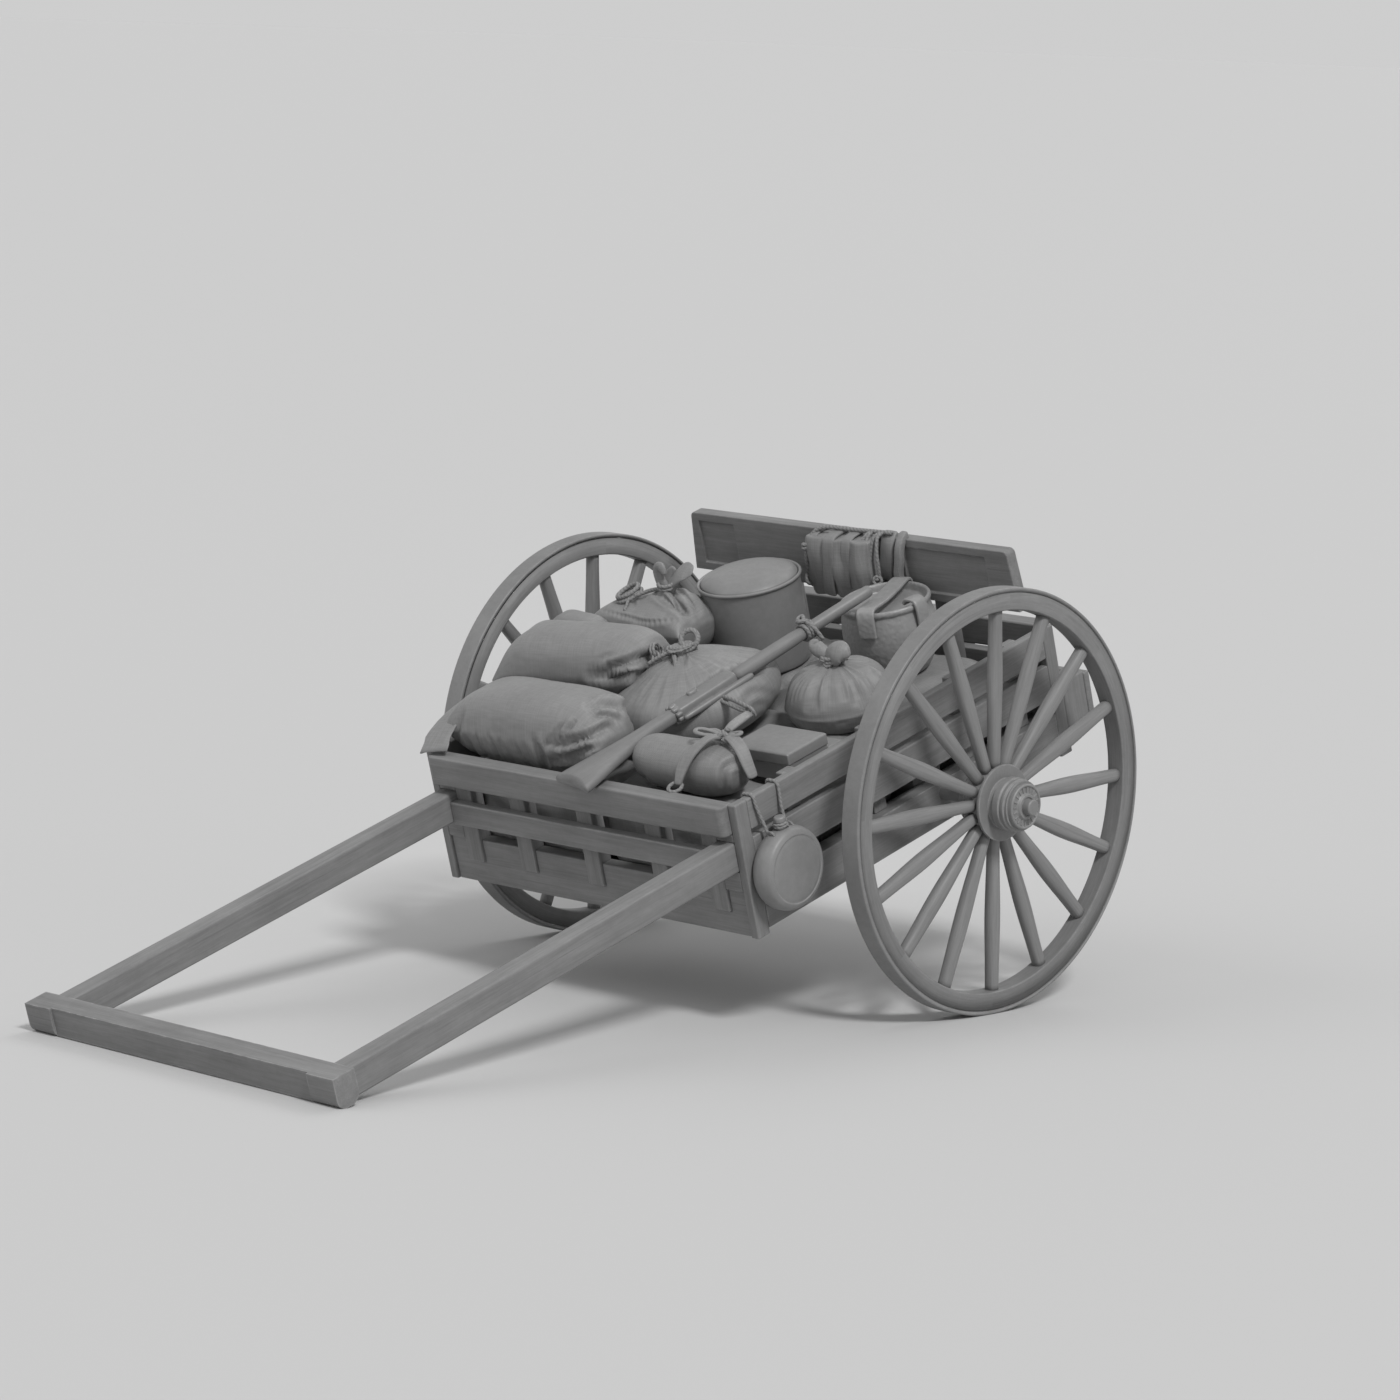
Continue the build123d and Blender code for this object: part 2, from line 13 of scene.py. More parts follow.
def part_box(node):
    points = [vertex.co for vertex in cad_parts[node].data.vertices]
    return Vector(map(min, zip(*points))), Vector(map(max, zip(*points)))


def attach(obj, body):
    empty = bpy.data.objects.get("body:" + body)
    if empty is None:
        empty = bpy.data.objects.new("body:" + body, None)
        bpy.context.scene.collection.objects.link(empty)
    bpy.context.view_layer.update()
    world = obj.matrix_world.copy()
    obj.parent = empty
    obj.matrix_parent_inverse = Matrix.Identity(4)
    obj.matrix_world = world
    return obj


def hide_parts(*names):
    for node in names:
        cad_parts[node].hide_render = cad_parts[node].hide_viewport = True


bl_info = {
    "name": "Supply Cart",
    "version": (1, 0, 0),
    "blender": (4, 5, 0),
    "location": "3D View > Sidebar > Supply Cart",
    "description": "Dresses a hand-pulled supply cart with worn timber, iron, sacks and camp gear",
    "category": "Object",
}

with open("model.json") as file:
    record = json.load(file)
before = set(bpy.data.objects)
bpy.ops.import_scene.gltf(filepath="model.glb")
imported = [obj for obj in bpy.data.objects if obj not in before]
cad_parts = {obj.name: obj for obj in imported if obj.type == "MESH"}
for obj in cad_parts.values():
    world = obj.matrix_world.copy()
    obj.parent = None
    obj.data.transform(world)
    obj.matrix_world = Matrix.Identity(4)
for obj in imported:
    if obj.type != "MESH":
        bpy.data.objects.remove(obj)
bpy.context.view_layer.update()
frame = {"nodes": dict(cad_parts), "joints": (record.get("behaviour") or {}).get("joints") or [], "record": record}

# The cart frame: origin in the middle of the axle, x right, y back along the bed, z up from it
STEP_AXIS = next(m["axis"] for m in frame["record"]["mounts"] if m["name"] == "tail_step_back")
PITCH = math.atan2(STEP_AXIS[2], STEP_AXIS[1])
HUBS = {joint["child"]: Vector(joint["pos_m"]) for joint in frame["joints"]}
AXLE = (HUBS["wheel_left"] + HUBS["wheel_right"]) / 2
CART = Matrix.Translation(AXLE) @ Matrix.Rotation(PITCH, 4, "X")
TO_CART = CART.inverted()

# Wheel sizes in metres, from the middle of the rim outwards
TYRE_LOW, TYRE_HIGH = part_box("tyre_right")
WHEEL_RADIUS = (TYRE_HIGH.z - TYRE_LOW.z) / 2
RIM_HALF = (TYRE_HIGH.x - TYRE_LOW.x) / 2
TYRE_THICKNESS = 0.012
FELLOE_OUTER = WHEEL_RADIUS - TYRE_THICKNESS
FELLOE_INNER = FELLOE_OUTER - 0.051
FELLOE_COUNT = 8
RIM_STEPS = 160
SPOKE_COUNT = 16
SPOKE_TURN = math.radians(2.9)

# The bed's pitch in the photograph, in which the crossbar hangs a little above the floor
SEEN_PITCH = math.radians(14.5)
CAMERA_FROM_AXLE = Vector((9.6524, -10.5108, 2.6695))
CAMERA_YAW = math.radians(-43.5591)
CAMERA_PITCH = math.radians(-9.8532)
CAMERA_LENS = 129.24
SEEN_FROM = (Matrix.Rotation(-SEEN_PITCH, 3, "X") @ CAMERA_FROM_AXLE).normalized()

# The middle of the long gun's butt and of its muzzle, in the cart frame
GUN_START = Vector((0.04, -0.8842, 0.3107))
GUN_END = Vector((0.2603, 0.2001, 0.4983))

# Heights in the cart frame at which the sacks and the tinware stand on the lower load
SACK_FLOOR = 0.236
TIN_FLOOR = 0.235


def grey(name, description, shade):
    """A colour setting that starts at a neutral grey."""
    return FloatVectorProperty(
        name=name, description=description, subtype="COLOR", default=(shade, shade, shade)
    )


class CartFinish(bpy.types.PropertyGroup):
    """Colours of the cart's materials."""

    timber_dark: grey("Timber Dark", "Colour in the timber's grain", 0.17)
    timber_light: grey("Timber Light", "Colour between the timber's grain", 0.25)
    iron: grey("Iron", "Colour of tyres, hubs and the axle", 0.22)
    canvas: grey("Canvas", "Colour of the sacks and the pack", 0.24)
    blanket: grey("Blanket", "Colour of the bedroll", 0.23)
    tinware: grey("Tinware", "Colour of the pot, kettle, tin box and canteen", 0.24)
    gun_steel: grey("Gun Steel", "Colour of the long gun's barrel and breech", 0.215)
    gun_wood: grey("Gun Wood", "Colour of the long gun's stock", 0.22)
    rope: grey("Rope", "Colour of ropes, ties and straps", 0.235)


class CartSizes(bpy.types.PropertyGroup):
    """Sizes of the details that dress the cart."""

    timber_edge: FloatProperty(
        name="Timber Edge",
        description="How far the timbers' edges are worn round",
        subtype="DISTANCE",
        default=0.005,
        min=0.001,
        max=0.01,
    )
    rope_radius: FloatProperty(
        name="Rope",
        description="Radius of the ropes that tie the load",
        subtype="DISTANCE",
        default=0.006,
        min=0.002,
        max=0.012,
    )
    weave_threads: IntProperty(
        name="Threads",
        description="Threads in each metre of sackcloth",
        default=420,
        min=100,
        max=1200,
    )


class Nodes:
    """Adds nodes to one tree and links them as they are added."""

    def __init__(self, tree):
        self.tree = tree

    def add(self, kind, inputs=None, **options):
        """Add a node, set its options, and link or set its inputs by name or index."""
        node = self.tree.nodes.new(kind)
        for option, value in options.items():
            setattr(node, option, value)
        for key, value in (inputs or {}).items():
            self.feed(node.inputs[key], value)
        return node

    def feed(self, socket, value):
        """Link an output to a socket, or set the socket's own value."""
        if isinstance(value, bpy.types.NodeSocket):
            self.tree.links.new(value, socket)
        else:
            socket.default_value = value

    def math(self, operation, *values):
        """A math node's result."""
        node = self.tree.nodes.new("ShaderNodeMath")
        node.operation = operation
        for index, value in enumerate(values):
            self.feed(node.inputs[index], value)
        return node.outputs[0]

    def mix(self, factor, low, high):
        """One colour mixed into another."""
        node = self.add("ShaderNodeMix", {0: factor, 6: low, 7: high}, data_type="RGBA")
        return node.outputs[2]

    def span(self, value, low, high, to_low=0.0, to_high=1.0):
        """A value carried from one range to another."""
        limits = {1: low, 2: high, 3: to_low, 4: to_high}
        return self.add("ShaderNodeMapRange", {0: value, **limits}).outputs[0]

    def noise(self, vector, scale, detail=3.0, roughness=0.55):
        """The value of a noise texture."""
        inputs = {"Vector": vector, "Scale": scale, "Detail": detail, "Roughness": roughness}
        return self.add("ShaderNodeTexNoise", inputs).outputs[0]


def shader_group(name, inputs, outputs):
    """A shader node group with named sockets: its node helper, group input and group output."""
    tree = bpy.data.node_groups.new(name, "ShaderNodeTree")
    for socket_name, kind, default in inputs:
        socket = tree.interface.new_socket(socket_name, in_out="INPUT", socket_type=kind)
        socket.default_value = default
    for socket_name, kind in outputs:
        tree.interface.new_socket(socket_name, in_out="OUTPUT", socket_type=kind)
    nodes = Nodes(tree)
    return nodes, nodes.add("NodeGroupInput"), nodes.add("NodeGroupOutput")


def weathered_grain_group():
    """Wood grain along a board: fibres, broad bands and fine drying cracks."""
    nodes, start, end = shader_group(
        "weathered_grain",
        (
            ("Grain", "NodeSocketVector", (0, 0, 0)),
            ("Dark", "NodeSocketColor", (0.1, 0.1, 0.1, 1)),
            ("Light", "NodeSocketColor", (0.3, 0.3, 0.3, 1)),
        ),
        (
            ("Colour", "NodeSocketColor"),
            ("Roughness", "NodeSocketFloat"),
            ("Height", "NodeSocketFloat"),
        ),
    )
    grain = start.outputs["Grain"]
    along = nodes.add("ShaderNodeMapping", {"Vector": grain, "Scale": (1, 1, 0.05)}).outputs[0]
    split = nodes.add("ShaderNodeMapping", {"Vector": grain, "Scale": (1, 1, 0.02)}).outputs[0]
    fibres = nodes.noise(along, 210, 6, 0.65)
    bands = nodes.noise(along, 34, 3)
    cracks = nodes.span(nodes.noise(split, 75, 2), 0.29, 0.36)
    tone = nodes.math("ADD", nodes.math("MULTIPLY", fibres, 0.5), nodes.math("MULTIPLY", bands, 0.5))
    colour = nodes.mix(nodes.span(tone, 0.32, 0.66), start.outputs["Dark"], start.outputs["Light"])
    worn = nodes.mix(nodes.span(cracks, 0, 1, 0.35, 1), start.outputs["Dark"], colour)
    nodes.feed(end.inputs["Colour"], worn)
    nodes.feed(end.inputs["Roughness"], nodes.span(tone, 0.3, 0.7, 0.66, 0.5))
    deep = nodes.math("MULTIPLY", cracks, 0.6)
    nodes.feed(end.inputs["Height"], nodes.math("ADD", nodes.math("MULTIPLY", tone, 0.6), deep))


def plain_weave_group():
    """Warp and weft of a plain woven cloth, with thick and thin threads."""
    nodes, start, end = shader_group(
        "plain_weave",
        (
            ("Cloth", "NodeSocketVector", (0, 0, 0)),
            ("Threads", "NodeSocketFloat", 400.0),
        ),
        (("Height", "NodeSocketFloat"), ("Slub", "NodeSocketFloat")),
    )
    cloth = start.outputs["Cloth"]
    threads = nodes.math("MULTIPLY", start.outputs["Threads"], math.tau / 2)
    axes = nodes.add("ShaderNodeSeparateXYZ", {0: cloth}).outputs
    warp = nodes.math("SINE", nodes.math("MULTIPLY", axes[0], threads))
    weft = nodes.math("SINE", nodes.math("MULTIPLY", axes[1], threads))
    crossing = nodes.math("MULTIPLY", warp, weft)
    slub_warp = nodes.add("ShaderNodeMapping", {"Vector": cloth, "Scale": (12, 240, 12)}).outputs[0]
    slub_weft = nodes.add("ShaderNodeMapping", {"Vector": cloth, "Scale": (240, 12, 12)}).outputs[0]
    slub = nodes.math("ADD", nodes.noise(slub_warp, 1, 2), nodes.noise(slub_weft, 1, 2))
    nodes.feed(end.inputs["Slub"], nodes.span(slub, 0.7, 1.3))
    nodes.feed(end.inputs["Height"], nodes.math("ADD", nodes.math("MULTIPLY", crossing, 0.4), slub))


def soiling_group():
    """Uneven dirt and fading over a surface."""
    nodes, start, end = shader_group(
        "soiling",
        (
            ("Place", "NodeSocketVector", (0, 0, 0)),
            ("Colour", "NodeSocketColor", (0.3, 0.3, 0.3, 1)),
            ("Amount", "NodeSocketFloat", 0.3),
        ),
        (("Colour", "NodeSocketColor"), ("Mask", "NodeSocketFloat")),
    )
    place = start.outputs["Place"]
    broad = nodes.noise(place, 5, 4)
    fine = nodes.noise(place, 46, 5, 0.7)
    dirt = nodes.math("ADD", nodes.math("MULTIPLY", broad, 0.65), nodes.math("MULTIPLY", fine, 0.35))
    mask = nodes.span(dirt, 0.38, 0.64)
    share = nodes.math("MULTIPLY", mask, start.outputs["Amount"])
    darker = nodes.add(
        "ShaderNodeHueSaturation", {"Color": start.outputs["Colour"], "Value": 0.58}
    ).outputs[0]
    nodes.feed(end.inputs["Colour"], nodes.mix(share, start.outputs["Colour"], darker))
    nodes.feed(end.inputs["Mask"], mask)


def edge_wear_group():
    """A lighter, rubbed colour along edges."""
    nodes, start, end = shader_group(
        "edge_wear",
        (
            ("Place", "NodeSocketVector", (0, 0, 0)),
            ("Colour", "NodeSocketColor", (0.3, 0.3, 0.3, 1)),
            ("Rubbed", "NodeSocketColor", (0.5, 0.5, 0.5, 1)),
        ),
        (("Colour", "NodeSocketColor"), ("Mask", "NodeSocketFloat")),
    )
    rounded = nodes.add("ShaderNodeBevel", {"Radius": 0.008}, samples=6).outputs[0]
    true_normal = nodes.add("ShaderNodeNewGeometry").outputs["Normal"]
    facing = nodes.add("ShaderNodeVectorMath", {0: rounded, 1: true_normal}, operation="DOT_PRODUCT")
    edge = nodes.span(facing.outputs["Value"], 0.985, 0.9)
    patchy = nodes.span(nodes.noise(start.outputs["Place"], 30, 4), 0.4, 0.62)
    mask = nodes.math("MULTIPLY", edge, patchy)
    nodes.feed(end.inputs["Colour"], nodes.mix(mask, start.outputs["Colour"], start.outputs["Rubbed"]))
    nodes.feed(end.inputs["Mask"], mask)


def hammered_group():
    """Shallow hammer marks and scratches in sheet metal."""
    nodes, start, end = shader_group(
        "hammered",
        (("Place", "NodeSocketVector", (0, 0, 0)), ("Marks", "NodeSocketFloat", 90.0)),
        (("Height", "NodeSocketFloat"), ("Rough", "NodeSocketFloat")),
    )
    place = start.outputs["Place"]
    marks = nodes.add(
        "ShaderNodeTexVoronoi",
        {"Vector": place, "Scale": start.outputs["Marks"]},
        feature="SMOOTH_F1",
    ).outputs[0]
    scratched = nodes.add("ShaderNodeMapping", {"Vector": place, "Scale": (4, 60, 60)}).outputs[0]
    scratches = nodes.noise(scratched, 12, 4, 0.7)
    nodes.feed(end.inputs["Height"], marks)
    nodes.feed(end.inputs["Rough"], nodes.span(scratches, 0.35, 0.65))


def group_node(nodes, name, inputs):
    """Place a shader node group in a material."""
    return nodes.add("ShaderNodeGroup", inputs, node_tree=bpy.data.node_groups[name])


def four(colour, share=1.0):
    """A colour with its alpha, made darker or lighter."""
    return (colour[0] * share, colour[1] * share, colour[2] * share, 1)


def finish_named(name):
    """One of the cart's materials."""
    return bpy.data.materials[f"cart_{name}"]


def start_finish(name):
    """A new material's node helper and its surface shader."""
    finish = bpy.data.materials.new(f"cart_{name}")
    finish.use_nodes = True
    return Nodes(finish.node_tree), finish.node_tree.nodes["Principled BSDF"]


def bump(nodes, shader, height, strength, distance):
    """Feed a height to a shader's normal."""
    inputs = {"Height": height, "Strength": strength, "Distance": distance}
    nodes.feed(shader.inputs["Normal"], nodes.add("ShaderNodeBump", inputs).outputs[0])


def timber_finish(name, dark, light, gloss=0.35, wear=1.3, soil=0.35):
    """Weathered timber with its grain along each board and its edges rubbed paler, if they wear."""
    nodes, shader = start_finish(name)
    grain = nodes.add("ShaderNodeAttribute", attribute_name="grain").outputs["Vector"]
    place = nodes.add("ShaderNodeTexCoord").outputs["Object"]
    wood = group_node(
        nodes, "weathered_grain", {"Grain": grain, "Dark": four(dark), "Light": four(light)}
    ).outputs
    soiled = {"Place": place, "Colour": wood["Colour"], "Amount": soil}
    dirt = group_node(nodes, "soiling", soiled).outputs
    worn = dirt
    if wear:
        rubbed = {"Place": place, "Colour": dirt["Colour"], "Rubbed": four(light, wear)}
        worn = group_node(nodes, "edge_wear", rubbed).outputs
    nodes.feed(shader.inputs["Base Color"], worn["Colour"])
    nodes.feed(shader.inputs["Roughness"], wood["Roughness"])
    shader.inputs["Specular IOR Level"].default_value = gloss
    bump(nodes, shader, wood["Height"], 0.28, 0.002)


def cloth_finish(name, colour, threads, bump_strength=0.3):
    """Woven cloth with slubby threads, faded and soiled in patches."""
    nodes, shader = start_finish(name)
    cloth = nodes.add("ShaderNodeUVMap", uv_map="cloth").outputs[0]
    place = nodes.add("ShaderNodeTexCoord").outputs["Object"]
    weave = group_node(nodes, "plain_weave", {"Cloth": cloth, "Threads": threads}).outputs
    thread = nodes.mix(weave["Slub"], four(colour, 0.86), four(colour, 1.08))
    dirt = group_node(nodes, "soiling", {"Place": place, "Colour": thread, "Amount": 0.3}).outputs
    nodes.feed(shader.inputs["Base Color"], dirt["Colour"])
    nodes.feed(shader.inputs["Roughness"], nodes.span(dirt["Mask"], 0, 1, 0.42, 0.6))
    shader.inputs["Specular IOR Level"].default_value = 0.45
    shader.inputs["Sheen Weight"].default_value = 0.06
    bump(nodes, shader, weave["Height"], bump_strength, 0.0012)


def metal_finish(name, colour, roughness, marks, dent):
    """Sheet metal or iron with hammer marks, dull patches and rubbed edges."""
    nodes, shader = start_finish(name)
    place = nodes.add("ShaderNodeTexCoord").outputs["Object"]
    beaten = group_node(nodes, "hammered", {"Place": place, "Marks": marks}).outputs
    dirt = group_node(nodes, "soiling", {"Place": place, "Colour": four(colour), "Amount": 0.45}).outputs
    worn = group_node(
        nodes,
        "edge_wear",
        {"Place": place, "Colour": dirt["Colour"], "Rubbed": four(colour, 1.5)},
    ).outputs
    nodes.feed(shader.inputs["Base Color"], worn["Colour"])
    shader.inputs["Metallic"].default_value = 0.05
    dull = nodes.math("ADD", nodes.math("MULTIPLY", dirt["Mask"], 0.6), beaten["Rough"])
    nodes.feed(shader.inputs["Roughness"], nodes.span(dull, 0, 1.6, roughness - 0.1, roughness + 0.16))
    bump(nodes, shader, beaten["Height"], dent, 0.004)


def rope_finish(name, colour):
    """Twisted rope or cord whose strands wind along its length, with painted shade in the grooves between the
    strands.
    """
    nodes, shader = start_finish(name)
    along = nodes.add("ShaderNodeUVMap", uv_map="cloth").outputs[0]
    place = nodes.add("ShaderNodeTexCoord").outputs["Object"]
    axes = nodes.add("ShaderNodeSeparateXYZ", {0: along}).outputs
    wound = nodes.math("MULTIPLY", nodes.math("ADD", axes[0], axes[1]), 75)
    strand = nodes.math("ABSOLUTE", nodes.math("SINE", nodes.math("MULTIPLY", wound, math.pi)))
    fuzz = nodes.noise(place, 420, 3)
    shade = nodes.math("ADD", nodes.math("MULTIPLY", strand, 0.7), nodes.math("MULTIPLY", fuzz, 0.3))
    # Colour runs from dark in the grooves between strands to light on their crowns: painted shade, with the fuzz
    # as the rope's own uneven tone
    nodes.feed(shader.inputs["Base Color"], nodes.mix(shade, four(colour, 0.6), four(colour, 1.12)))
    nodes.feed(shader.inputs["Roughness"], nodes.span(fuzz, 0, 1, 0.55, 0.85))
    bump(nodes, shader, shade, 0.6, 0.002)


def ease(bm, radius, angle=25, segments=3):
    """Round the edges of a form that are sharper than an angle."""
    sharp = [e for e in bm.edges if e.is_manifold and e.calc_face_angle() > math.radians(angle)]
    bmesh.ops.bevel(
        bm,
        geom=sharp,
        offset=radius,
        offset_type="OFFSET",
        segments=segments,
        profile=0.5,
        affect="EDGES",
        clamp_overlap=True,
        material=-1,
    )


def islands(bm):
    """The separate solids of a form, each as its vertices."""
    left = set(bm.verts)
    while left:
        reached = [left.pop()]
        solid = []
        while reached:
            vert = reached.pop()
            solid.append(vert)
            for edge in vert.link_edges:
                other = edge.other_vert(vert)
                if other in left:
                    left.discard(other)
                    reached.append(other)
        yield solid


def lay_grain(bm, seed):
    """Lay the grain along each board's longest side, at its own place in the wood."""
    layer = bm.verts.layers.float_vector.new("grain")
    pick = random.Random(seed)
    bm.verts.index_update()
    for board in sorted(islands(bm), key=lambda verts: min(v.index for v in verts)):
        places = [TO_CART @ v.co for v in board]
        reach = [max(p[i] for p in places) - min(p[i] for p in places) for i in range(3)]
        long_axis = reach.index(max(reach))
        across = [i for i in range(3) if i != long_axis]
        shift = Vector((pick.uniform(0, 9), pick.uniform(0, 9), pick.uniform(0, 9)))
        for vert, place in zip(board, places):
            vert[layer] = Vector((place[across[0]], place[across[1]], place[long_axis])) + shift


def piece(name, bm, body, slot, finish, replaced=(), levels=0, even=False):
    """Make a form a finished piece that rides on a body and stands for its nodes."""
    for face in bm.faces:
        face.smooth = True
    mesh = bpy.data.meshes.new(name)
    bm.to_mesh(mesh)
    bm.free()
    obj = bpy.data.objects.new(name, mesh)
    bpy.context.scene.collection.objects.link(obj)
    mesh.materials.append(finish_named(finish))
    if levels:
        smooth = obj.modifiers.new("smooth", "SUBSURF")
        smooth.levels = levels
        smooth.render_levels = levels
    if even:
        obj.modifiers.new("even_faces", "WEIGHTED_NORMAL").weight = 100
    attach(obj, body)
    if replaced:
        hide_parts(*replaced)
    return obj


def node_form(node):
    """A merged copy of a node's mesh."""
    bm = bmesh.new()
    bm.from_mesh(frame["nodes"][node].data)
    bmesh.ops.remove_doubles(bm, verts=bm.verts, dist=1e-5)
    return bm


def worn_timber(node, edge):
    """A timber with its edges eased and its grain laid, in place of its node."""
    bm = node_form(node)
    bmesh.ops.dissolve_limit(bm, angle_limit=math.radians(1), verts=bm.verts, edges=bm.edges)
    ease(bm, edge)
    lay_grain(bm, node)
    piece(f"{node}_timber", bm, "cart", "timber", "timber", (node,), even=True)


def turned(profile, steps=72, closed=False):
    """A form turned about x from (along, radius) points."""
    bm = bmesh.new()
    verts = [bm.verts.new((along, 0, radius)) for along, radius in profile]
    pairs = list(zip(verts, verts[1:])) + ([(verts[-1], verts[0])] if closed else [])
    edges = [bm.edges.new(pair) for pair in pairs]
    bmesh.ops.spin(
        bm,
        geom=verts + edges,
        axis=(1, 0, 0),
        cent=(0, 0, 0),
        angle=math.tau,
        steps=steps,
        use_merge=True,
    )
    bmesh.ops.remove_doubles(bm, verts=bm.verts, dist=1e-6)
    bmesh.ops.recalc_face_normals(bm, faces=bm.faces)
    return bm


def drawn(sections, sides=16, square=1.0, ribs=0):
    """A closed form drawn through sections, each a matrix that places a unit round."""
    bm = bmesh.new()
    bmesh.ops.create_circle(bm, cap_ends=True, segments=sides if not ribs else 8 * ribs, radius=1)
    for vert in bm.verts:
        if ribs:
            vert.co.y *= 1 - 0.3 * abs(math.sin(math.pi * ribs * (vert.co.x + 1) / 2)) ** 6
        vert.co.x = math.copysign(abs(vert.co.x) ** square, vert.co.x)
        vert.co.y = math.copysign(abs(vert.co.y) ** square, vert.co.y)
    bm.faces.ensure_lookup_table()
    face = bm.faces[0]
    bmesh.ops.transform(bm, matrix=sections[0], verts=bm.verts)
    for last, section in zip(sections, sections[1:]):
        grown = bmesh.ops.extrude_face_region(bm, geom=[face, *face.edges])
        face = next(g for g in grown["geom"] if isinstance(g, bmesh.types.BMFace))
        bmesh.ops.transform(bm, matrix=section @ last.inverted(), verts=face.verts)
    bmesh.ops.recalc_face_normals(bm, faces=bm.faces)
    return bm


def joined(forms):
    """Several forms as one."""
    whole = bmesh.new()
    for form in forms:
        mesh = bpy.data.meshes.new("part")
        form.to_mesh(mesh)
        form.free()
        whole.from_mesh(mesh)
        bpy.data.meshes.remove(mesh)
    return whole


def moved(bm, matrix):
    """A form carried to its place."""
    bmesh.ops.transform(bm, matrix=matrix, verts=bm.verts)
    if matrix.determinant() < 0:
        bmesh.ops.reverse_faces(bm, faces=bm.faces)
    return bm


def block(size):
    """A block of a size, centred on the origin."""
    bm = bmesh.new()
    bmesh.ops.create_cube(bm, size=1)
    return moved(bm, Matrix.Diagonal((*size, 1)))


def smoothed(bm, times):
    """Smooth a form a number of times."""
    for _ in range(times):
        bmesh.ops.smooth_vert(
            bm, verts=bm.verts, factor=0.5, use_axis_x=True, use_axis_y=True, use_axis_z=True
        )


def set_off(origin, steps):
    """Places that lie some steps away from an origin."""
    return [origin + Vector(step) for step in steps]


def smooth_line(points, between):
    """A smooth line through a few points, with some more between each two."""
    points = [Vector(point) for point in points]
    padded = [2 * points[0] - points[1], *points, 2 * points[-1] - points[-2]]
    line = []
    for before, start, end, after in zip(padded, padded[1:], padded[2:], padded[3:]):
        for step in range(between):
            t = step / between
            bend = 2 * before - 5 * start + 4 * end - after
            twist = -before + 3 * start - 3 * end + after
            line.append(start + 0.5 * t * (end - before + t * (bend + t * twist)))
    return line + [points[-1]]


def upright(bm):
    """Stand a form that was turned about x up along z."""
    return moved(bm, Matrix.Rotation(-math.pi / 2, 4, "Y"))


def wrap_cloth(bm):
    """Lay the cloth's threads over a form, face by face along its nearest flat side."""
    cloth = bm.loops.layers.uv.get("cloth") or bm.loops.layers.uv.new("cloth")
    for face in bm.faces:
        steep = [abs(part) for part in face.normal]
        drop = steep.index(max(steep))
        for loop in face.loops:
            flat = [part for index, part in enumerate(loop.vert.co) if index != drop]
            loop[cloth].uv = flat
    return bm


def set_out(bm):
    """A scratch object that holds a form for modifiers to work on."""
    mesh = bpy.data.meshes.new("scratch")
    bm.to_mesh(mesh)
    bm.free()
    obj = bpy.data.objects.new("scratch", mesh)
    bpy.context.scene.collection.objects.link(obj)
    return obj


def taken_up(obj):
    """The form that a scratch object's modifiers have made."""
    graph = bpy.context.evaluated_depsgraph_get()
    result = bpy.data.meshes.new_from_object(
        obj.evaluated_get(graph), preserve_all_data_layers=True, depsgraph=graph
    )
    bm = bmesh.new()
    bm.from_mesh(result)
    used = (obj.data, result)
    bpy.data.objects.remove(obj)
    for mesh in used:
        bpy.data.meshes.remove(mesh)
    return bm


def worked(bm, kind, **options):
    """A form after one modifier has worked on it."""
    obj = set_out(bm)
    modifier = obj.modifiers.new("work", kind)
    for option, value in options.items():
        setattr(modifier, option, value)
    return taken_up(obj)


def finer(bm):
    """A form smoothed and split into faces a quarter the size."""
    return worked(bm, "SUBSURF", levels=1, render_levels=1)


def even_faces(bm, size):
    """A form rebuilt from even faces of a size."""
    return worked(bm, "REMESH", mode="VOXEL", voxel_size=size)


def flat_on(place):
    """A place seen flat on from the camera."""
    return place - SEEN_FROM * place.dot(SEEN_FROM)


def crease(bm, points, depth, width):
    """Press a fold with a raised lip into cloth along a line, drawn as it shows from the camera."""
    line = [flat_on(place) for place in smooth_line(points, 6)]
    last = len(line) - 1
    bm.normal_update()
    for vert in bm.verts:
        if vert.normal.dot(SEEN_FROM) < 0.05:
            continue
        here = flat_on(vert.co)
        away, near = min(((here - place).length, index) for index, place in enumerate(line))
        away /= width
        if away < 2.5:
            fade = min(1.0, 0.2 + 3 * min(near, last - near) / last)
            dip = math.exp(-((1.6 * away) ** 2)) - 0.45 * math.exp(-(((away - 1.2) / 0.5) ** 2))
            vert.co -= vert.normal * depth * fade * dip


def creases(bm, y, folds):
    """Press folds into cloth, each a depth, a width and the (x, z) places along it."""
    for depth, width, places in folds:
        crease(bm, [(x, y, z) for x, z in places], depth, width)


def sculpt(bm, centre, reach, move):
    """Pull the surface near a place, less and less away from it."""
    centre = Vector(centre)
    move = Vector(move)
    for vert in bm.verts:
        near = 1 - (vert.co - centre).length / reach
        if near > 0:
            vert.co += move * near * near * (3 - 2 * near)


def ruffle(bm, amount, size, seed):
    """Push a surface in and out with soft, uneven folds."""
    shift = Vector((seed * 7.3, seed * 3.1, seed * 5.7))
    bm.normal_update()
    pushes = [noise.noise(vert.co / size + shift) * amount for vert in bm.verts]
    for vert, push in zip(bm.verts, pushes):
        vert.co += vert.normal * push


def fit(bm, size):
    """Scale a form to a size, centred over the origin with its foot at zero."""
    low = Vector([min(v.co[i] for v in bm.verts) for i in range(3)])
    high = Vector([max(v.co[i] for v in bm.verts) for i in range(3)])
    scale = [size[i] / (high[i] - low[i]) for i in range(3)]
    foot = Vector(((low.x + high.x) / 2, (low.y + high.y) / 2, low.z))
    return moved(bm, Matrix.Diagonal((*scale, 1)) @ Matrix.Translation(-foot))


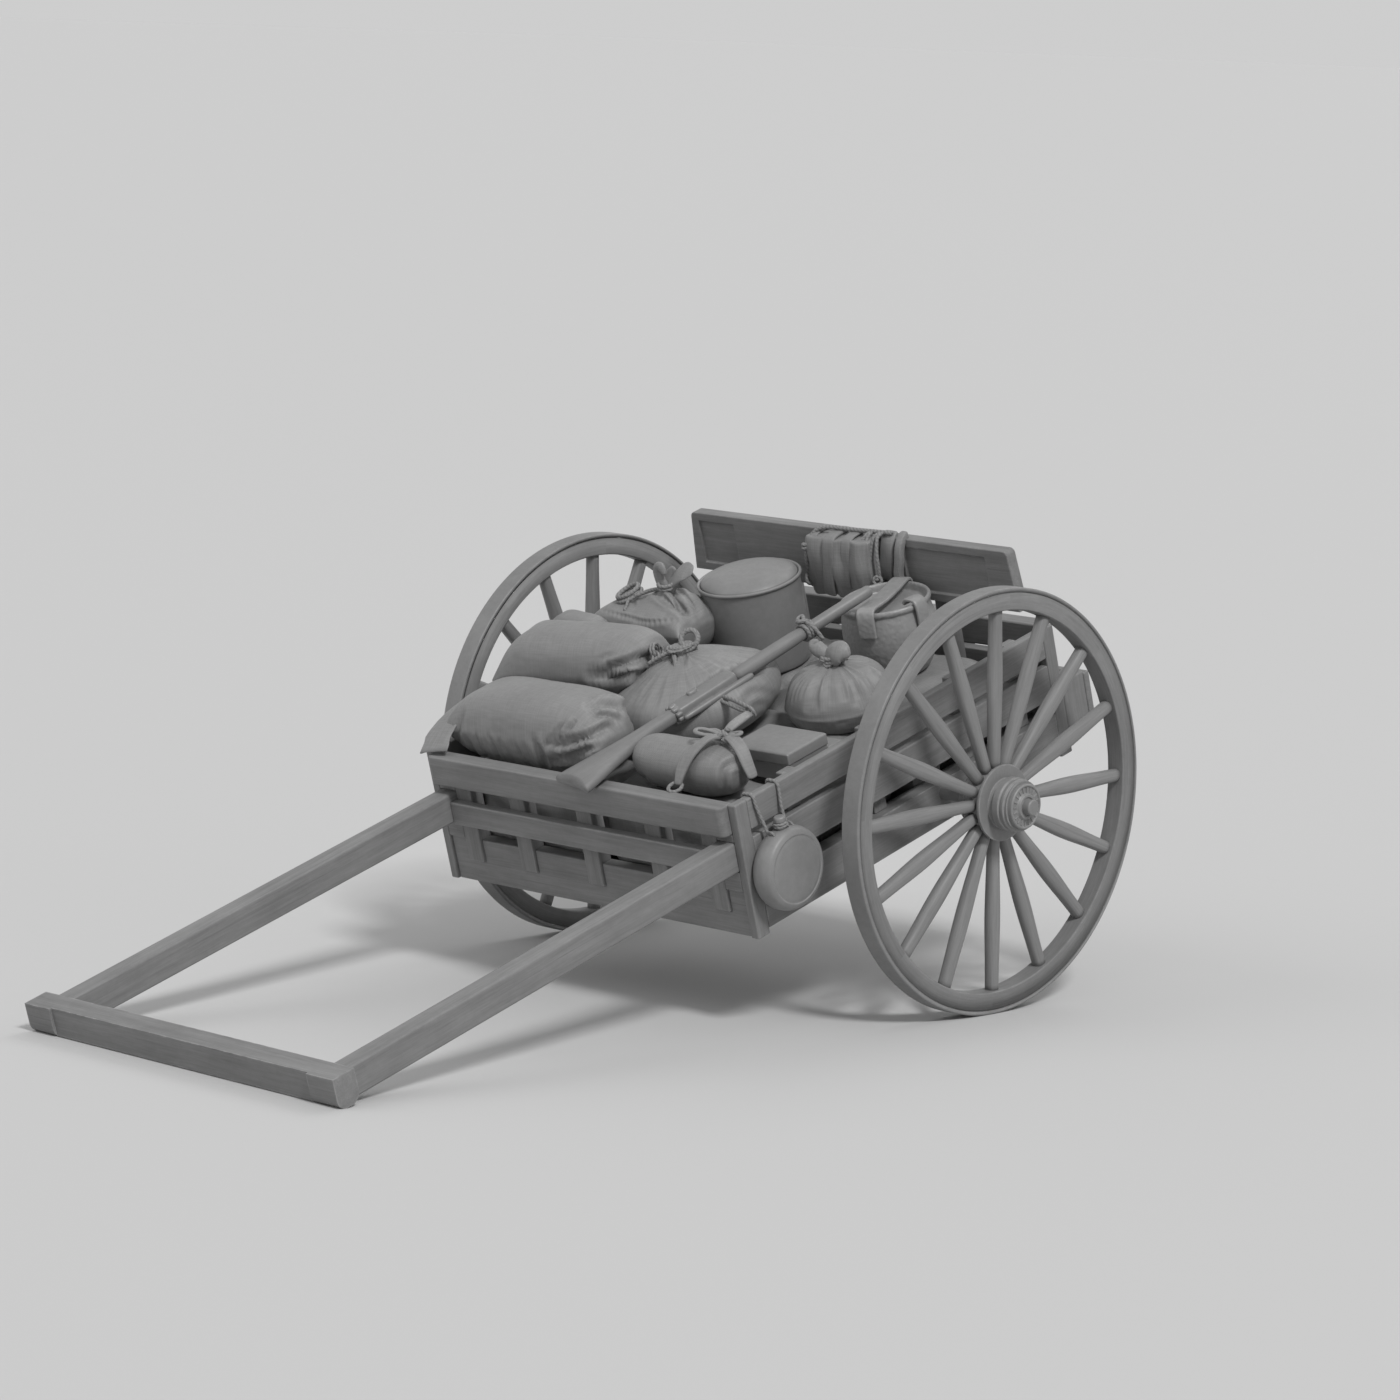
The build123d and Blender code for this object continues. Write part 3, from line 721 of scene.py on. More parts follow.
def sewn_bag(length, width, columns, rows):
    """A flat bag of two cloths sewn round the edge."""
    bm = bmesh.new()
    bmesh.ops.create_grid(bm, x_segments=columns, y_segments=rows, size=0.5)
    bmesh.ops.scale(bm, vec=(length, width, 1), verts=bm.verts)
    cloth = bm.loops.layers.uv.new("cloth")
    for face in bm.faces:
        for loop in face.loops:
            loop[cloth].uv = loop.vert.co.xy
    copied = bmesh.ops.duplicate(bm, geom=bm.verts[:] + bm.edges[:] + bm.faces[:])["geom"]
    under = [g for g in copied if isinstance(g, bmesh.types.BMVert)]
    bmesh.ops.translate(bm, vec=(0, 0, -0.005), verts=under)
    bmesh.ops.reverse_faces(bm, faces=[g for g in copied if isinstance(g, bmesh.types.BMFace)])
    bmesh.ops.bridge_loops(bm, edges=[e for e in bm.edges if e.is_boundary])
    bmesh.ops.recalc_face_normals(bm, faces=bm.faces)
    return bm


def domed(bm, length, width, height):
    """A bag's rough filled shape."""
    for vert in bm.verts:
        u = min(1, abs(2 * vert.co.x / length))
        v = min(1, abs(2 * vert.co.y / width))
        rise = height / 2 * ((1 - u**4) * (1 - v**4)) ** 0.5
        vert.co.z += rise if vert.co.z > -0.002 else -rise
    return bm


def filled(bm, pressure, frames, tied=None, bend=0.4, loose=0.0):
    """Fill a bag by cloth simulation, with a tied part kept in place and its cloth cut a little loose.
    """
    scene = bpy.context.scene
    bag = set_out(bm)
    cloth = bag.modifiers.new("cloth", "CLOTH")
    cloth.settings.quality = 6
    cloth.settings.mass = 0.25
    cloth.settings.tension_stiffness = 14
    cloth.settings.compression_stiffness = 14
    cloth.settings.shear_stiffness = 7
    cloth.settings.bending_stiffness = bend
    cloth.settings.shrink_min = -loose
    cloth.settings.use_pressure = True
    cloth.settings.uniform_pressure_force = pressure
    cloth.settings.effector_weights.gravity = 0.1
    cloth.collision_settings.use_collision = False
    if tied is not None:
        held = bag.vertex_groups.new(name="held")
        held.add([vert.index for vert in bag.data.vertices if tied(vert.co)], 1, "REPLACE")
        cloth.settings.vertex_group_mass = "held"
    for step in range(1, frames + 1):
        scene.frame_set(step)
    settled = taken_up(bag)
    scene.frame_set(1)
    return settled


def gathered(profile, pleats, depth, seed, neck, belly, steps=144):
    """A sack turned from (height, radius) points, pleated from its tied neck down to its belly."""
    bm = upright(turned([p.to_2d() for p in smooth_line([(*p, 0) for p in profile], 6)], steps))
    pick = random.Random(seed)
    # columns: count round the neck, share of the depth, turn
    waves = [
        (count + pick.randint(-1, 1), share, pick.uniform(0, math.tau))
        for count, share in ((pleats, 0.5), (round(pleats * 1.6), 0.3), (round(pleats * 0.6), 0.35))
    ]
    cloth = bm.loops.layers.uv.new("cloth")
    for face in bm.faces:
        middle = face.calc_center_median()
        turn = math.atan2(middle.y, middle.x)
        for loop in face.loops:
            here = math.atan2(loop.vert.co.y, loop.vert.co.x)
            here = turn + (here - turn + math.pi) % math.tau - math.pi
            loop[cloth].uv = (here * 0.16, loop.vert.co.z + loop.vert.co.xy.length)
    for vert in bm.verts:
        turn = math.atan2(vert.co.y, vert.co.x)
        near = max(0.0, min(1.0, (vert.co.z - belly) / (neck - belly)))
        wave = sum(share * math.cos(count * turn + shift) for count, share, shift in waves)
        fold = 1 - abs(wave) ** 0.8
        vert.co.xy *= 1 + depth * near**1.3 * (fold - 0.5)
    return bm


def strand(points, radius, closed=False):
    """A rope along a smooth line through a few points."""
    curve = bpy.data.curves.new("strand", "CURVE")
    curve.dimensions = "3D"
    spline = curve.splines.new("NURBS")
    spline.points.add(len(points) - 1)
    for point, place in zip(spline.points, points):
        point.co = (*place, 1)
    spline.use_cyclic_u = closed
    spline.use_endpoint_u = not closed
    spline.order_u = 3
    curve.resolution_u = 8
    curve.bevel_depth = radius
    curve.bevel_resolution = 3
    curve.use_fill_caps = True
    rope = bpy.data.objects.new("strand", curve)
    mesh = bpy.data.meshes.new_from_object(rope)
    bm = bmesh.new()
    bm.from_mesh(mesh)
    bpy.data.objects.remove(rope)
    bpy.data.curves.remove(curve)
    bpy.data.meshes.remove(mesh)
    bmesh.ops.remove_doubles(bm, verts=bm.verts, dist=1e-6)
    bmesh.ops.recalc_face_normals(bm, faces=bm.faces)
    return wrap_cloth(bm)


def ring(centre, normal, radius, thickness, turns=1):
    """A rope laid in one or more rounds about a normal."""
    centre = Vector(centre)
    normal = Vector(normal).normalized()
    first = normal.orthogonal().normalized()
    second = normal.cross(first)
    corners = 12
    points = []
    for index in range(corners * turns):
        angle = math.tau * index / corners
        rise = normal * (1.8 * thickness * index / corners if turns > 1 else 0)
        points.append(centre + rise + radius * (first * math.cos(angle) + second * math.sin(angle)))
    return strand(points, thickness, closed=turns == 1)


def for_each(value, points):
    """A value for each point, from one value or a list of them."""
    return value if isinstance(value, (list, tuple)) else [value] * len(points)


def band(points, normals, width, thickness, sides=12, square=0.45, ribs=0):
    """A strap or a fold of cloth along points, its broad side facing the normals."""
    line = smooth_line(points, 4)
    facing = smooth_line(normals, 4)
    sizes = zip(for_each(width, points), for_each(thickness, points))
    spans = smooth_line([(*size, 0) for size in sizes], 4)
    sections = []
    for index, place in enumerate(line):
        ahead = (line[min(index + 1, len(line) - 1)] - line[max(index - 1, 0)]).normalized()
        across = ahead.cross(facing[index]).normalized()
        up = across.cross(ahead)
        turn = Matrix((across * spans[index].x / 2, up * spans[index].y / 2, ahead)).transposed().to_4x4()
        sections.append(Matrix.Translation(place) @ turn)
    return wrap_cloth(drawn(sections, sides=sides, square=square, ribs=ribs))


class CART_OT_stage(bpy.types.Operator):
    """Set the floor, the light and the camera"""

    bl_idname = "cart.stage"
    bl_label = "Stage"

    def execute(self, context):
        scene = context.scene
        scene.view_settings.view_transform = "Standard"
        self.set_camera(scene)
        self.lay_floor(scene)
        self.set_light(scene)
        return {"FINISHED"}

    def set_camera(self, scene):
        """Look at the cart as the photograph does, turned with it about the axle."""
        turn = Matrix.Rotation(PITCH - SEEN_PITCH, 3, "X")
        ahead = Vector(
            (
                math.cos(CAMERA_PITCH) * math.sin(CAMERA_YAW),
                math.cos(CAMERA_PITCH) * math.cos(CAMERA_YAW),
                math.sin(CAMERA_PITCH),
            )
        )
        right = ahead.cross(Vector((0, 0, 1))).normalized()
        up = right.cross(ahead)
        facing = turn @ Matrix((right, up, -ahead)).transposed()
        data = bpy.data.cameras.new("photo_view")
        data.lens = CAMERA_LENS
        data.sensor_width = 36
        camera = bpy.data.objects.new("photo_view", data)
        scene.collection.objects.link(camera)
        camera.matrix_world = Matrix.Translation(AXLE + turn @ CAMERA_FROM_AXLE) @ facing.to_4x4()
        scene.camera = camera

    def lay_floor(self, scene):
        """Lay a plain pale floor."""
        _, shader = start_finish("floor_paint")
        shader.inputs["Base Color"].default_value = (0.54, 0.54, 0.54, 1)
        shader.inputs["Roughness"].default_value = 0.85
        bm = bmesh.new()
        bmesh.ops.create_grid(bm, x_segments=1, y_segments=1, size=400)
        mesh = bpy.data.meshes.new("floor")
        bm.to_mesh(mesh)
        bm.free()
        mesh.materials.append(finish_named("floor_paint"))
        floor = bpy.data.objects.new("floor", mesh)
        scene.collection.objects.link(floor)

    def set_light(self, scene):
        """Light the cart softly from above, strongest from its right."""
        world = bpy.data.worlds.new("studio")
        scene.world = world
        world.use_nodes = True
        nodes = Nodes(world.node_tree)
        shown = world.node_tree.nodes["Background"]
        shown.inputs["Color"].default_value = (0.615, 0.615, 0.615, 1)
        light = nodes.add("ShaderNodeBackground", {"Color": (0.9, 0.9, 0.9, 1), "Strength": 0.5})
        rays = nodes.add("ShaderNodeLightPath").outputs
        mirrored = nodes.math("MAXIMUM", rays["Is Glossy Ray"], rays["Is Transmission Ray"])
        seen = nodes.math("MAXIMUM", rays["Is Camera Ray"], mirrored)
        sky = nodes.add("ShaderNodeMixShader", {0: seen, 1: light.outputs[0], 2: shown.outputs[0]})
        nodes.feed(world.node_tree.nodes["World Output"].inputs["Surface"], sky.outputs[0])
        # columns: name, where it shines from, angle across the source, strength
        for name, place, across, strength in (
            ("key", (4.8, -2.0, 5.6), 12, 2.0),
            ("fill", (-3.4, -5.0, 4.4), 40, 0.35),
            ("back", (-1.0, 5.5, 4.6), 30, 0.5),
        ):
            data = bpy.data.lights.new(name, "SUN")
            data.angle = math.radians(across)
            data.energy = strength
            lamp = bpy.data.objects.new(name, data)
            scene.collection.objects.link(lamp)
            lamp.location = place
            lamp.rotation_euler = (-lamp.location).to_track_quat("-Z", "Y").to_euler()


class CART_OT_finishes(bpy.types.Operator):
    """Make the cart's materials"""

    bl_idname = "cart.finishes"
    bl_label = "Finishes"

    def execute(self, context):
        for group in (
            weathered_grain_group,
            plain_weave_group,
            soiling_group,
            edge_wear_group,
            hammered_group,
        ):
            group()
        colours = context.scene.cart_finish
        threads = context.scene.cart_sizes.weave_threads
        timber_finish("timber", colours.timber_dark, colours.timber_light)
        timber_finish("spoke_timber", colours.timber_dark, colours.timber_light, gloss=0.5, wear=0, soil=0.15)
        dark_wood = [0.8 * part for part in colours.gun_wood]
        timber_finish("gun_wood", dark_wood, colours.gun_wood, gloss=0.55)
        cloth_finish("canvas", colours.canvas, threads)
        cloth_finish("blanket", colours.blanket, threads * 0.7, 0.5)
        cloth_finish("canvas_strap", colours.rope, threads * 1.4, 0.2)
        metal_finish("iron", colours.iron, 0.5, 140, 0.1)
        metal_finish("tinware", colours.tinware, 0.46, 70, 0.06)
        # The kettle's tin is the tinware colour made a quarter lighter to brighten the kettle where it renders
        # dark: painted light. Its deeper hammer marks are the kettle's own
        tin_painted_lighter = [1.25 * part for part in colours.tinware]
        metal_finish("kettle_tin_painted_lighter", tin_painted_lighter, 0.4, 85, 0.4)
        metal_finish("gun_steel", colours.gun_steel, 0.4, 120, 0.04)
        rope_finish("rope", colours.rope)
        return {"FINISHED"}


class CART_OT_wheels(bpy.types.Operator):
    """Make both spoked wheels, each on its own hub"""

    bl_idname = "cart.wheels"
    bl_label = "Wheels"

    def execute(self, context):
        for hand, side in (("left", -1), ("right", 1)):
            body = f"wheel_{hand}"
            self.place = Matrix.Translation(HUBS[body]) @ Matrix.Diagonal((side, 1, 1, 1))
            self.add(hand, "tyre", self.tyre(), "iron")
            self.add(hand, "felloe", self.felloes(hand), "timber")
            self.add(hand, "spokes", self.spokes(hand), "spoke_timber")
            self.add(hand, "hub", self.hub(), "iron")
            self.add(hand, "hub_cap", self.hub_cap(), "iron")
        return {"FINISHED"}

    def add(self, hand, name, bm, finish):
        """Put a wheel's piece in its place."""
        moved(bm, self.place)
        node = f"{name}_{hand}"
        slot = "iron" if finish == "iron" else "timber"
        piece(f"{node}_worn", bm, f"wheel_{hand}", slot, finish, (node,), even=name != "spokes")

    def tyre(self):
        """The iron tyre, rounded by the road."""
        edge = 0.004
        half = (
            (RIM_HALF - edge, WHEEL_RADIUS),
            (RIM_HALF - 0.3 * edge, WHEEL_RADIUS - 0.3 * edge),
            (RIM_HALF, WHEEL_RADIUS - edge),
            (RIM_HALF, FELLOE_OUTER),
        )
        other = [(-along, radius) for along, radius in reversed(half)]
        return turned((*other, *half), steps=RIM_STEPS, closed=True)

    def felloes(self, hand):
        """The wooden rim in lengths, with the grain along each."""
        edge = 0.004
        high = FELLOE_OUTER - 0.0015
        low = FELLOE_INNER
        half = RIM_HALF - 0.0012
        profile = (
            (-half, high),
            (-half, low + edge),
            (-half + edge, low),
            (half - edge, low),
            (half, low + edge),
            (half, high),
        )
        bm = turned(profile, steps=RIM_STEPS, closed=True)
        grain = bm.loops.layers.float_vector.new("grain")
        pick = random.Random(hand)
        shifts = [pick.uniform(0, 40) for _ in range(FELLOE_COUNT)]
        length = math.tau / FELLOE_COUNT
        for face in bm.faces:
            middle = face.calc_center_median()
            index = int((math.atan2(middle.y, middle.z) % math.tau) / length)
            for loop in face.loops:
                place = loop.vert.co
                turn = math.atan2(place.y, place.z) - index * length
                turn = (turn + math.pi) % math.tau - math.pi
                reach = math.hypot(place.y, place.z)
                loop[grain] = (place.x + shifts[index], reach, turn * FELLOE_OUTER)
        return bm

    def spokes(self, hand):
        """The spokes, slim at the hub and rim and fullest between."""
        pick = random.Random(hand)
        foot = 0.092
        tip = FELLOE_INNER + 0.003
        belly = 0.33
        steps = 24
        sections = []
        for step in range(steps + 1):
            along = step / steps
            reach = foot + along * (tip - foot)
            full = math.exp(-(((reach - belly) / 0.12) ** 2))
            width = 0.0325 + 0.004 * along + 0.0125 * full
            scale = Matrix.Diagonal((0.0178 + 0.0012 * full, width / 2, 1, 1))
            sections.append(Matrix.Translation((0, 0, reach)) @ scale)
        fitted = []
        for index in range(SPOKE_COUNT):
            bm = drawn(sections, sides=20, square=0.82)
            grain = bm.verts.layers.float_vector.new("grain")
            shift = pick.uniform(0, 40)
            for vert in bm.verts:
                vert[grain] = (vert.co.x + shift, vert.co.y, vert.co.z + shift)
            turn = SPOKE_TURN + index * math.tau / SPOKE_COUNT
            fitted.append(moved(bm, Matrix.Rotation(turn, 4, "X")))
        return joined(fitted)

    def hub(self):
        """The nave, its flange and its banded collar."""
        profile = (
            (-0.068, 0.02), (-0.068, 0.07), (-0.05, 0.074), (-0.044, 0.08), (-0.03, 0.095), (0.03, 0.095),
            (0.03, 0.108), (0.039, 0.108), (0.039, 0.07), (0.05, 0.066), (0.056, 0.068), (0.058, 0.0765),
            (0.078, 0.0765), (0.08, 0.072), (0.084, 0.072), (0.086, 0.0745), (0.095, 0.0745),
            (0.097, 0.069), (0.1, 0.069), (0.102, 0.071), (0.106, 0.071), (0.106, 0.02),
        )
        bm = turned(profile, closed=True)
        ease(bm, 0.0016, angle=30, segments=2)
        return bm

    def hub_cap(self):
        """The cap with its ribs, ring and nut."""
        profile = (
            (0.106, 0), (0.106, 0.064), (0.117, 0.064), (0.12, 0.061), (0.12, 0.057), (0.116, 0.055),
            (0.117, 0.04), (0.121, 0.036), (0.125, 0.034), (0.125, 0.027), (0.121, 0.025),
            (0.121, 0.022), (0.143, 0.022), (0.146, 0.019), (0.146, 0),
        )
        cap = turned(profile)
        ease(cap, 0.001, angle=32, segments=2)
        ribs = []
        count = 20
        for index in range(count):
            bm = moved(block((0.004, 0.0038, 0.015)), Matrix.Translation((0.1175, 0, 0.047)))
            ease(bm, 0.001, segments=2)
            ribs.append(moved(bm, Matrix.Rotation(index * math.tau / count, 4, "X")))
        return joined([cap] + ribs)


class CART_OT_timbers(bpy.types.Operator):
    """Wear the timbers of the shafts, box, floor and tail"""

    bl_idname = "cart.timbers"
    bl_label = "Timbers"

    def execute(self, context):
        edge = context.scene.cart_sizes.timber_edge
        # columns: share of the worn edge, nodes
        for share, nodes in (
            (1.4, ("shaft_left", "shaft_right", "crossbar")),
            (1.2, ("front_top_rail", "rear_top_rail", "tail_brackets", "axle_bed", "tailboard_posts")),
            (0.8, ("front_mid_rail", "rear_mid_rail", "front_posts", "rear_posts", "tail_batten")),
            (0.8, ("front_apron", "rear_apron", "shaft_blocks", "corner_posts", "stakes")),
            (0.9, ("side_top_rail_left", "side_top_rail_right", "sill_left", "sill_right")),
            (0.9, ("side_mid_board_left", "side_mid_board_right", "tail_step")),
            (0.7, ("floor_bearers", "floor_planks", "tailboard")),
        ):
            for node in nodes:
                worn_timber(node, share * edge)
        axle = node_form("axle")
        ease(axle, 0.2 * edge, angle=40)
        piece("axle_iron", axle, "cart", "iron", "iron", ("axle",), even=True)
        return {"FINISHED"}


def on_bed(x, y, z, turn=0.0, lean=(0.0, 0.0)):
    """The matrix that sets a form down on the cart frame, turned about the bed's normal and leaning."""
    tilt = Matrix.Rotation(lean[0], 4, "X") @ Matrix.Rotation(lean[1], 4, "Y")
    return Matrix.Translation((x, y, z)) @ Matrix.Rotation(turn, 4, "Z") @ tilt


def load_piece(name, bm, finish, replaced=(), levels=1, even=False):
    """Carry a form from the cart frame to its place as a piece of the load."""
    slots = {"canvas_strap": "canvas", "kettle_tin_painted_lighter": "tinware"}
    slot = slots.get(finish, finish)
    obj = piece(name, moved(bm, CART), "cart", slot, finish, replaced, levels=levels, even=even)


class CART_OT_lower_sacks(bpy.types.Operator):
    """Fill the sacks at the bottom of the load and fold the tarp"""

    bl_idname = "cart.lower_sacks"
    bl_label = "Lower Sacks"

    def execute(self, context):
        bm = even_faces(node_form("lower_sacks"), 0.012)
        smoothed(bm, 5)
        moved(bm, TO_CART)
        ruffle(bm, 0.012, 0.16, 1)
        ruffle(bm, 0.009, 0.06, 2)
        wrap_cloth(bm)
        load_piece("lower_sacks_filled", bm, "canvas", ("lower_sacks",), levels=0)
        self.fold_tarp()
        return {"FINISHED"}

    def fold_tarp(self):
        """The tarp, folded in layers under the back sack."""
        layers = []
        layer = 0.0145
        for index in range(4):
            length = 0.245 - 0.012 * ((index * 7) % 3)
            bm = block((length, 0.19 - 0.01 * (index % 2), layer))
            long_edges = [e for e in bm.edges if e.calc_length() > 2 * layer]
            bmesh.ops.subdivide_edges(bm, edges=long_edges, cuts=14, use_grid_fill=True)
            ease(bm, 0.006, angle=40)
            ruffle(bm, 0.004, 0.09, index + 3)
            layers.append(moved(bm, Matrix.Translation((0, 0, layer * (index + 0.5)))))
        bm = moved(joined(layers), on_bed(-0.411, -0.365, SACK_FLOOR, math.radians(15)))
        load_piece("tarp_folded", wrap_cloth(bm), "canvas", ("folded_tarp",))


class CART_OT_flour_sacks(bpy.types.Operator):
    """Fill the two flour sacks and the small sack and lay them on the load"""

    bl_idname = "cart.flour_sacks"
    bl_label = "Flour Sacks"

    def execute(self, context):
        self.front()
        self.back(context.scene.cart_sizes.rope_radius)
        small = self.sack((0.3, 0.26), (0.22, 0.12, 0.185))
        moved(small, on_bed(-0.565, -0.185, 0.296, 0.1, (0.0, 0.12)))
        load_piece("small_sack_filled", small, "canvas", ("small_sack",))
        return {"FINISHED"}

    def sack(self, flat, size):
        """One sack, filled and then scaled to its size."""
        length, width = flat
        face = 0.011
        bm = sewn_bag(length, width, round(length / face), round(width / face))
        domed(bm, length, width, size[2] * width / size[1])
        return fit(filled(bm, 2.2, 16, bend=0.2, loose=0.06), size)

    def front(self):
        """The front sack, its open end hemmed flat and lying over the rail's corner."""
        bm = self.sack((0.66, 0.39), (0.6, 0.255, 0.23))
        moved(bm, on_bed(-0.272, -0.635, 0.233, math.radians(1)))
        sculpt(bm, (0.02, -0.5, 0.36), 0.12, (-0.03, -0.04, 0))
        bm = finer(bm)
        folds = (
            (0.02, 0.017, ((-0.02, 0.46), (0.07, 0.48), (0.12, 0.47))),
            (0.013, 0.013, ((-0.01, 0.44), (0.09, 0.44))),
            (0.022, 0.017, ((-0.22, 0.32), (-0.11, 0.34), (0.01, 0.39), (0.09, 0.43))),
            (0.017, 0.015, ((-0.22, 0.27), (-0.11, 0.3), (-0.01, 0.34))),
            (0.013, 0.014, ((-0.27, 0.33), (-0.24, 0.29), (-0.23, 0.25))),
            (0.011, 0.011, ((-0.12, 0.4), (-0.19, 0.33))),
            (0.011, 0.011, ((-0.07, 0.42), (-0.14, 0.35))),
            (0.006, 0.009, ((-0.54, 0.3), (-0.5, 0.23))),
            (0.006, 0.008, ((-0.5, 0.32), (-0.46, 0.24))),
            (0.006, 0.008, ((-0.45, 0.33), (-0.41, 0.24))),
            (0.005, 0.008, ((-0.41, 0.32), (-0.35, 0.24))),
            (0.005, 0.008, ((-0.35, 0.31), (-0.29, 0.24))),
            (0.008, 0.012, ((-0.53, 0.38), (-0.57, 0.31), (-0.58, 0.25))),
        )
        creases(bm, -0.7, folds)
        mouth = (
            (-0.53, -0.6, 0.385),
            (-0.562, -0.69, 0.378),
            (-0.562, -0.77, 0.346),
            (-0.545, -0.833, 0.306),
        )
        facing = ((-0.3, -0.2, 1), (-0.35, -0.3, 1), (-0.2, -0.5, 1), (0, -0.6, 1))
        flap = band(mouth, facing, (0.07, 0.115, 0.11, 0.095), (0.04, 0.016, 0.007, 0.006), sides=28)
        ruffle(flap, 0.006, 0.035, 21)
        bm = joined([bm, flap])
        load_piece("flour_sack_front_filled", bm, "canvas", ("flour_sack_front",), levels=0)

    def back(self, rope):
        """The back sack on the tarp, its left end low and its right end tucked and tied."""
        bm = self.sack((0.64, 0.36), (0.565, 0.235, 0.232))
        for vert in bm.verts:
            vert.co.y *= 1 - 0.5 * max(0.0, (-0.06 - vert.co.x) / 0.22) ** 2
        moved(bm, on_bed(-0.417, -0.36, 0.294, math.radians(11)))
        sculpt(bm, (-0.14, -0.3, 0.4), 0.2, (0, 0, 0.045))
        sculpt(bm, (-0.69, -0.42, 0.48), 0.2, (0.03, 0, -0.07))
        bm = finer(bm)
        folds = (
            (0.024, 0.02, ((-0.31, 0.4), (-0.19, 0.44), (-0.09, 0.48), (-0.02, 0.5))),
            (0.02, 0.018, ((-0.3, 0.39), (-0.2, 0.405), (-0.1, 0.44))),
            (0.006, 0.012, ((-0.28, 0.44), (-0.2, 0.48))),
        )
        creases(bm, -0.4, folds)
        load_piece("flour_sack_back_filled", bm, "canvas", ("flour_sack_back",), levels=0)
        end = Vector((-0.135, -0.302, 0.456))
        ties = [
            ring(end, (1, 0.3, 0.25), 0.022, 0.8 * rope, turns=2),
            strand(set_off(end, ((0, 0, 0), (0.02, -0.03, 0), (0.025, -0.04, -0.035))), 0.7 * rope),
            strand(set_off(end, ((0, 0, 0), (0.03, -0.01, 0.01), (0.05, -0.03, -0.02))), 0.7 * rope),
        ]
        load_piece("flour_sack_tie", joined(ties), "rope", levels=0)


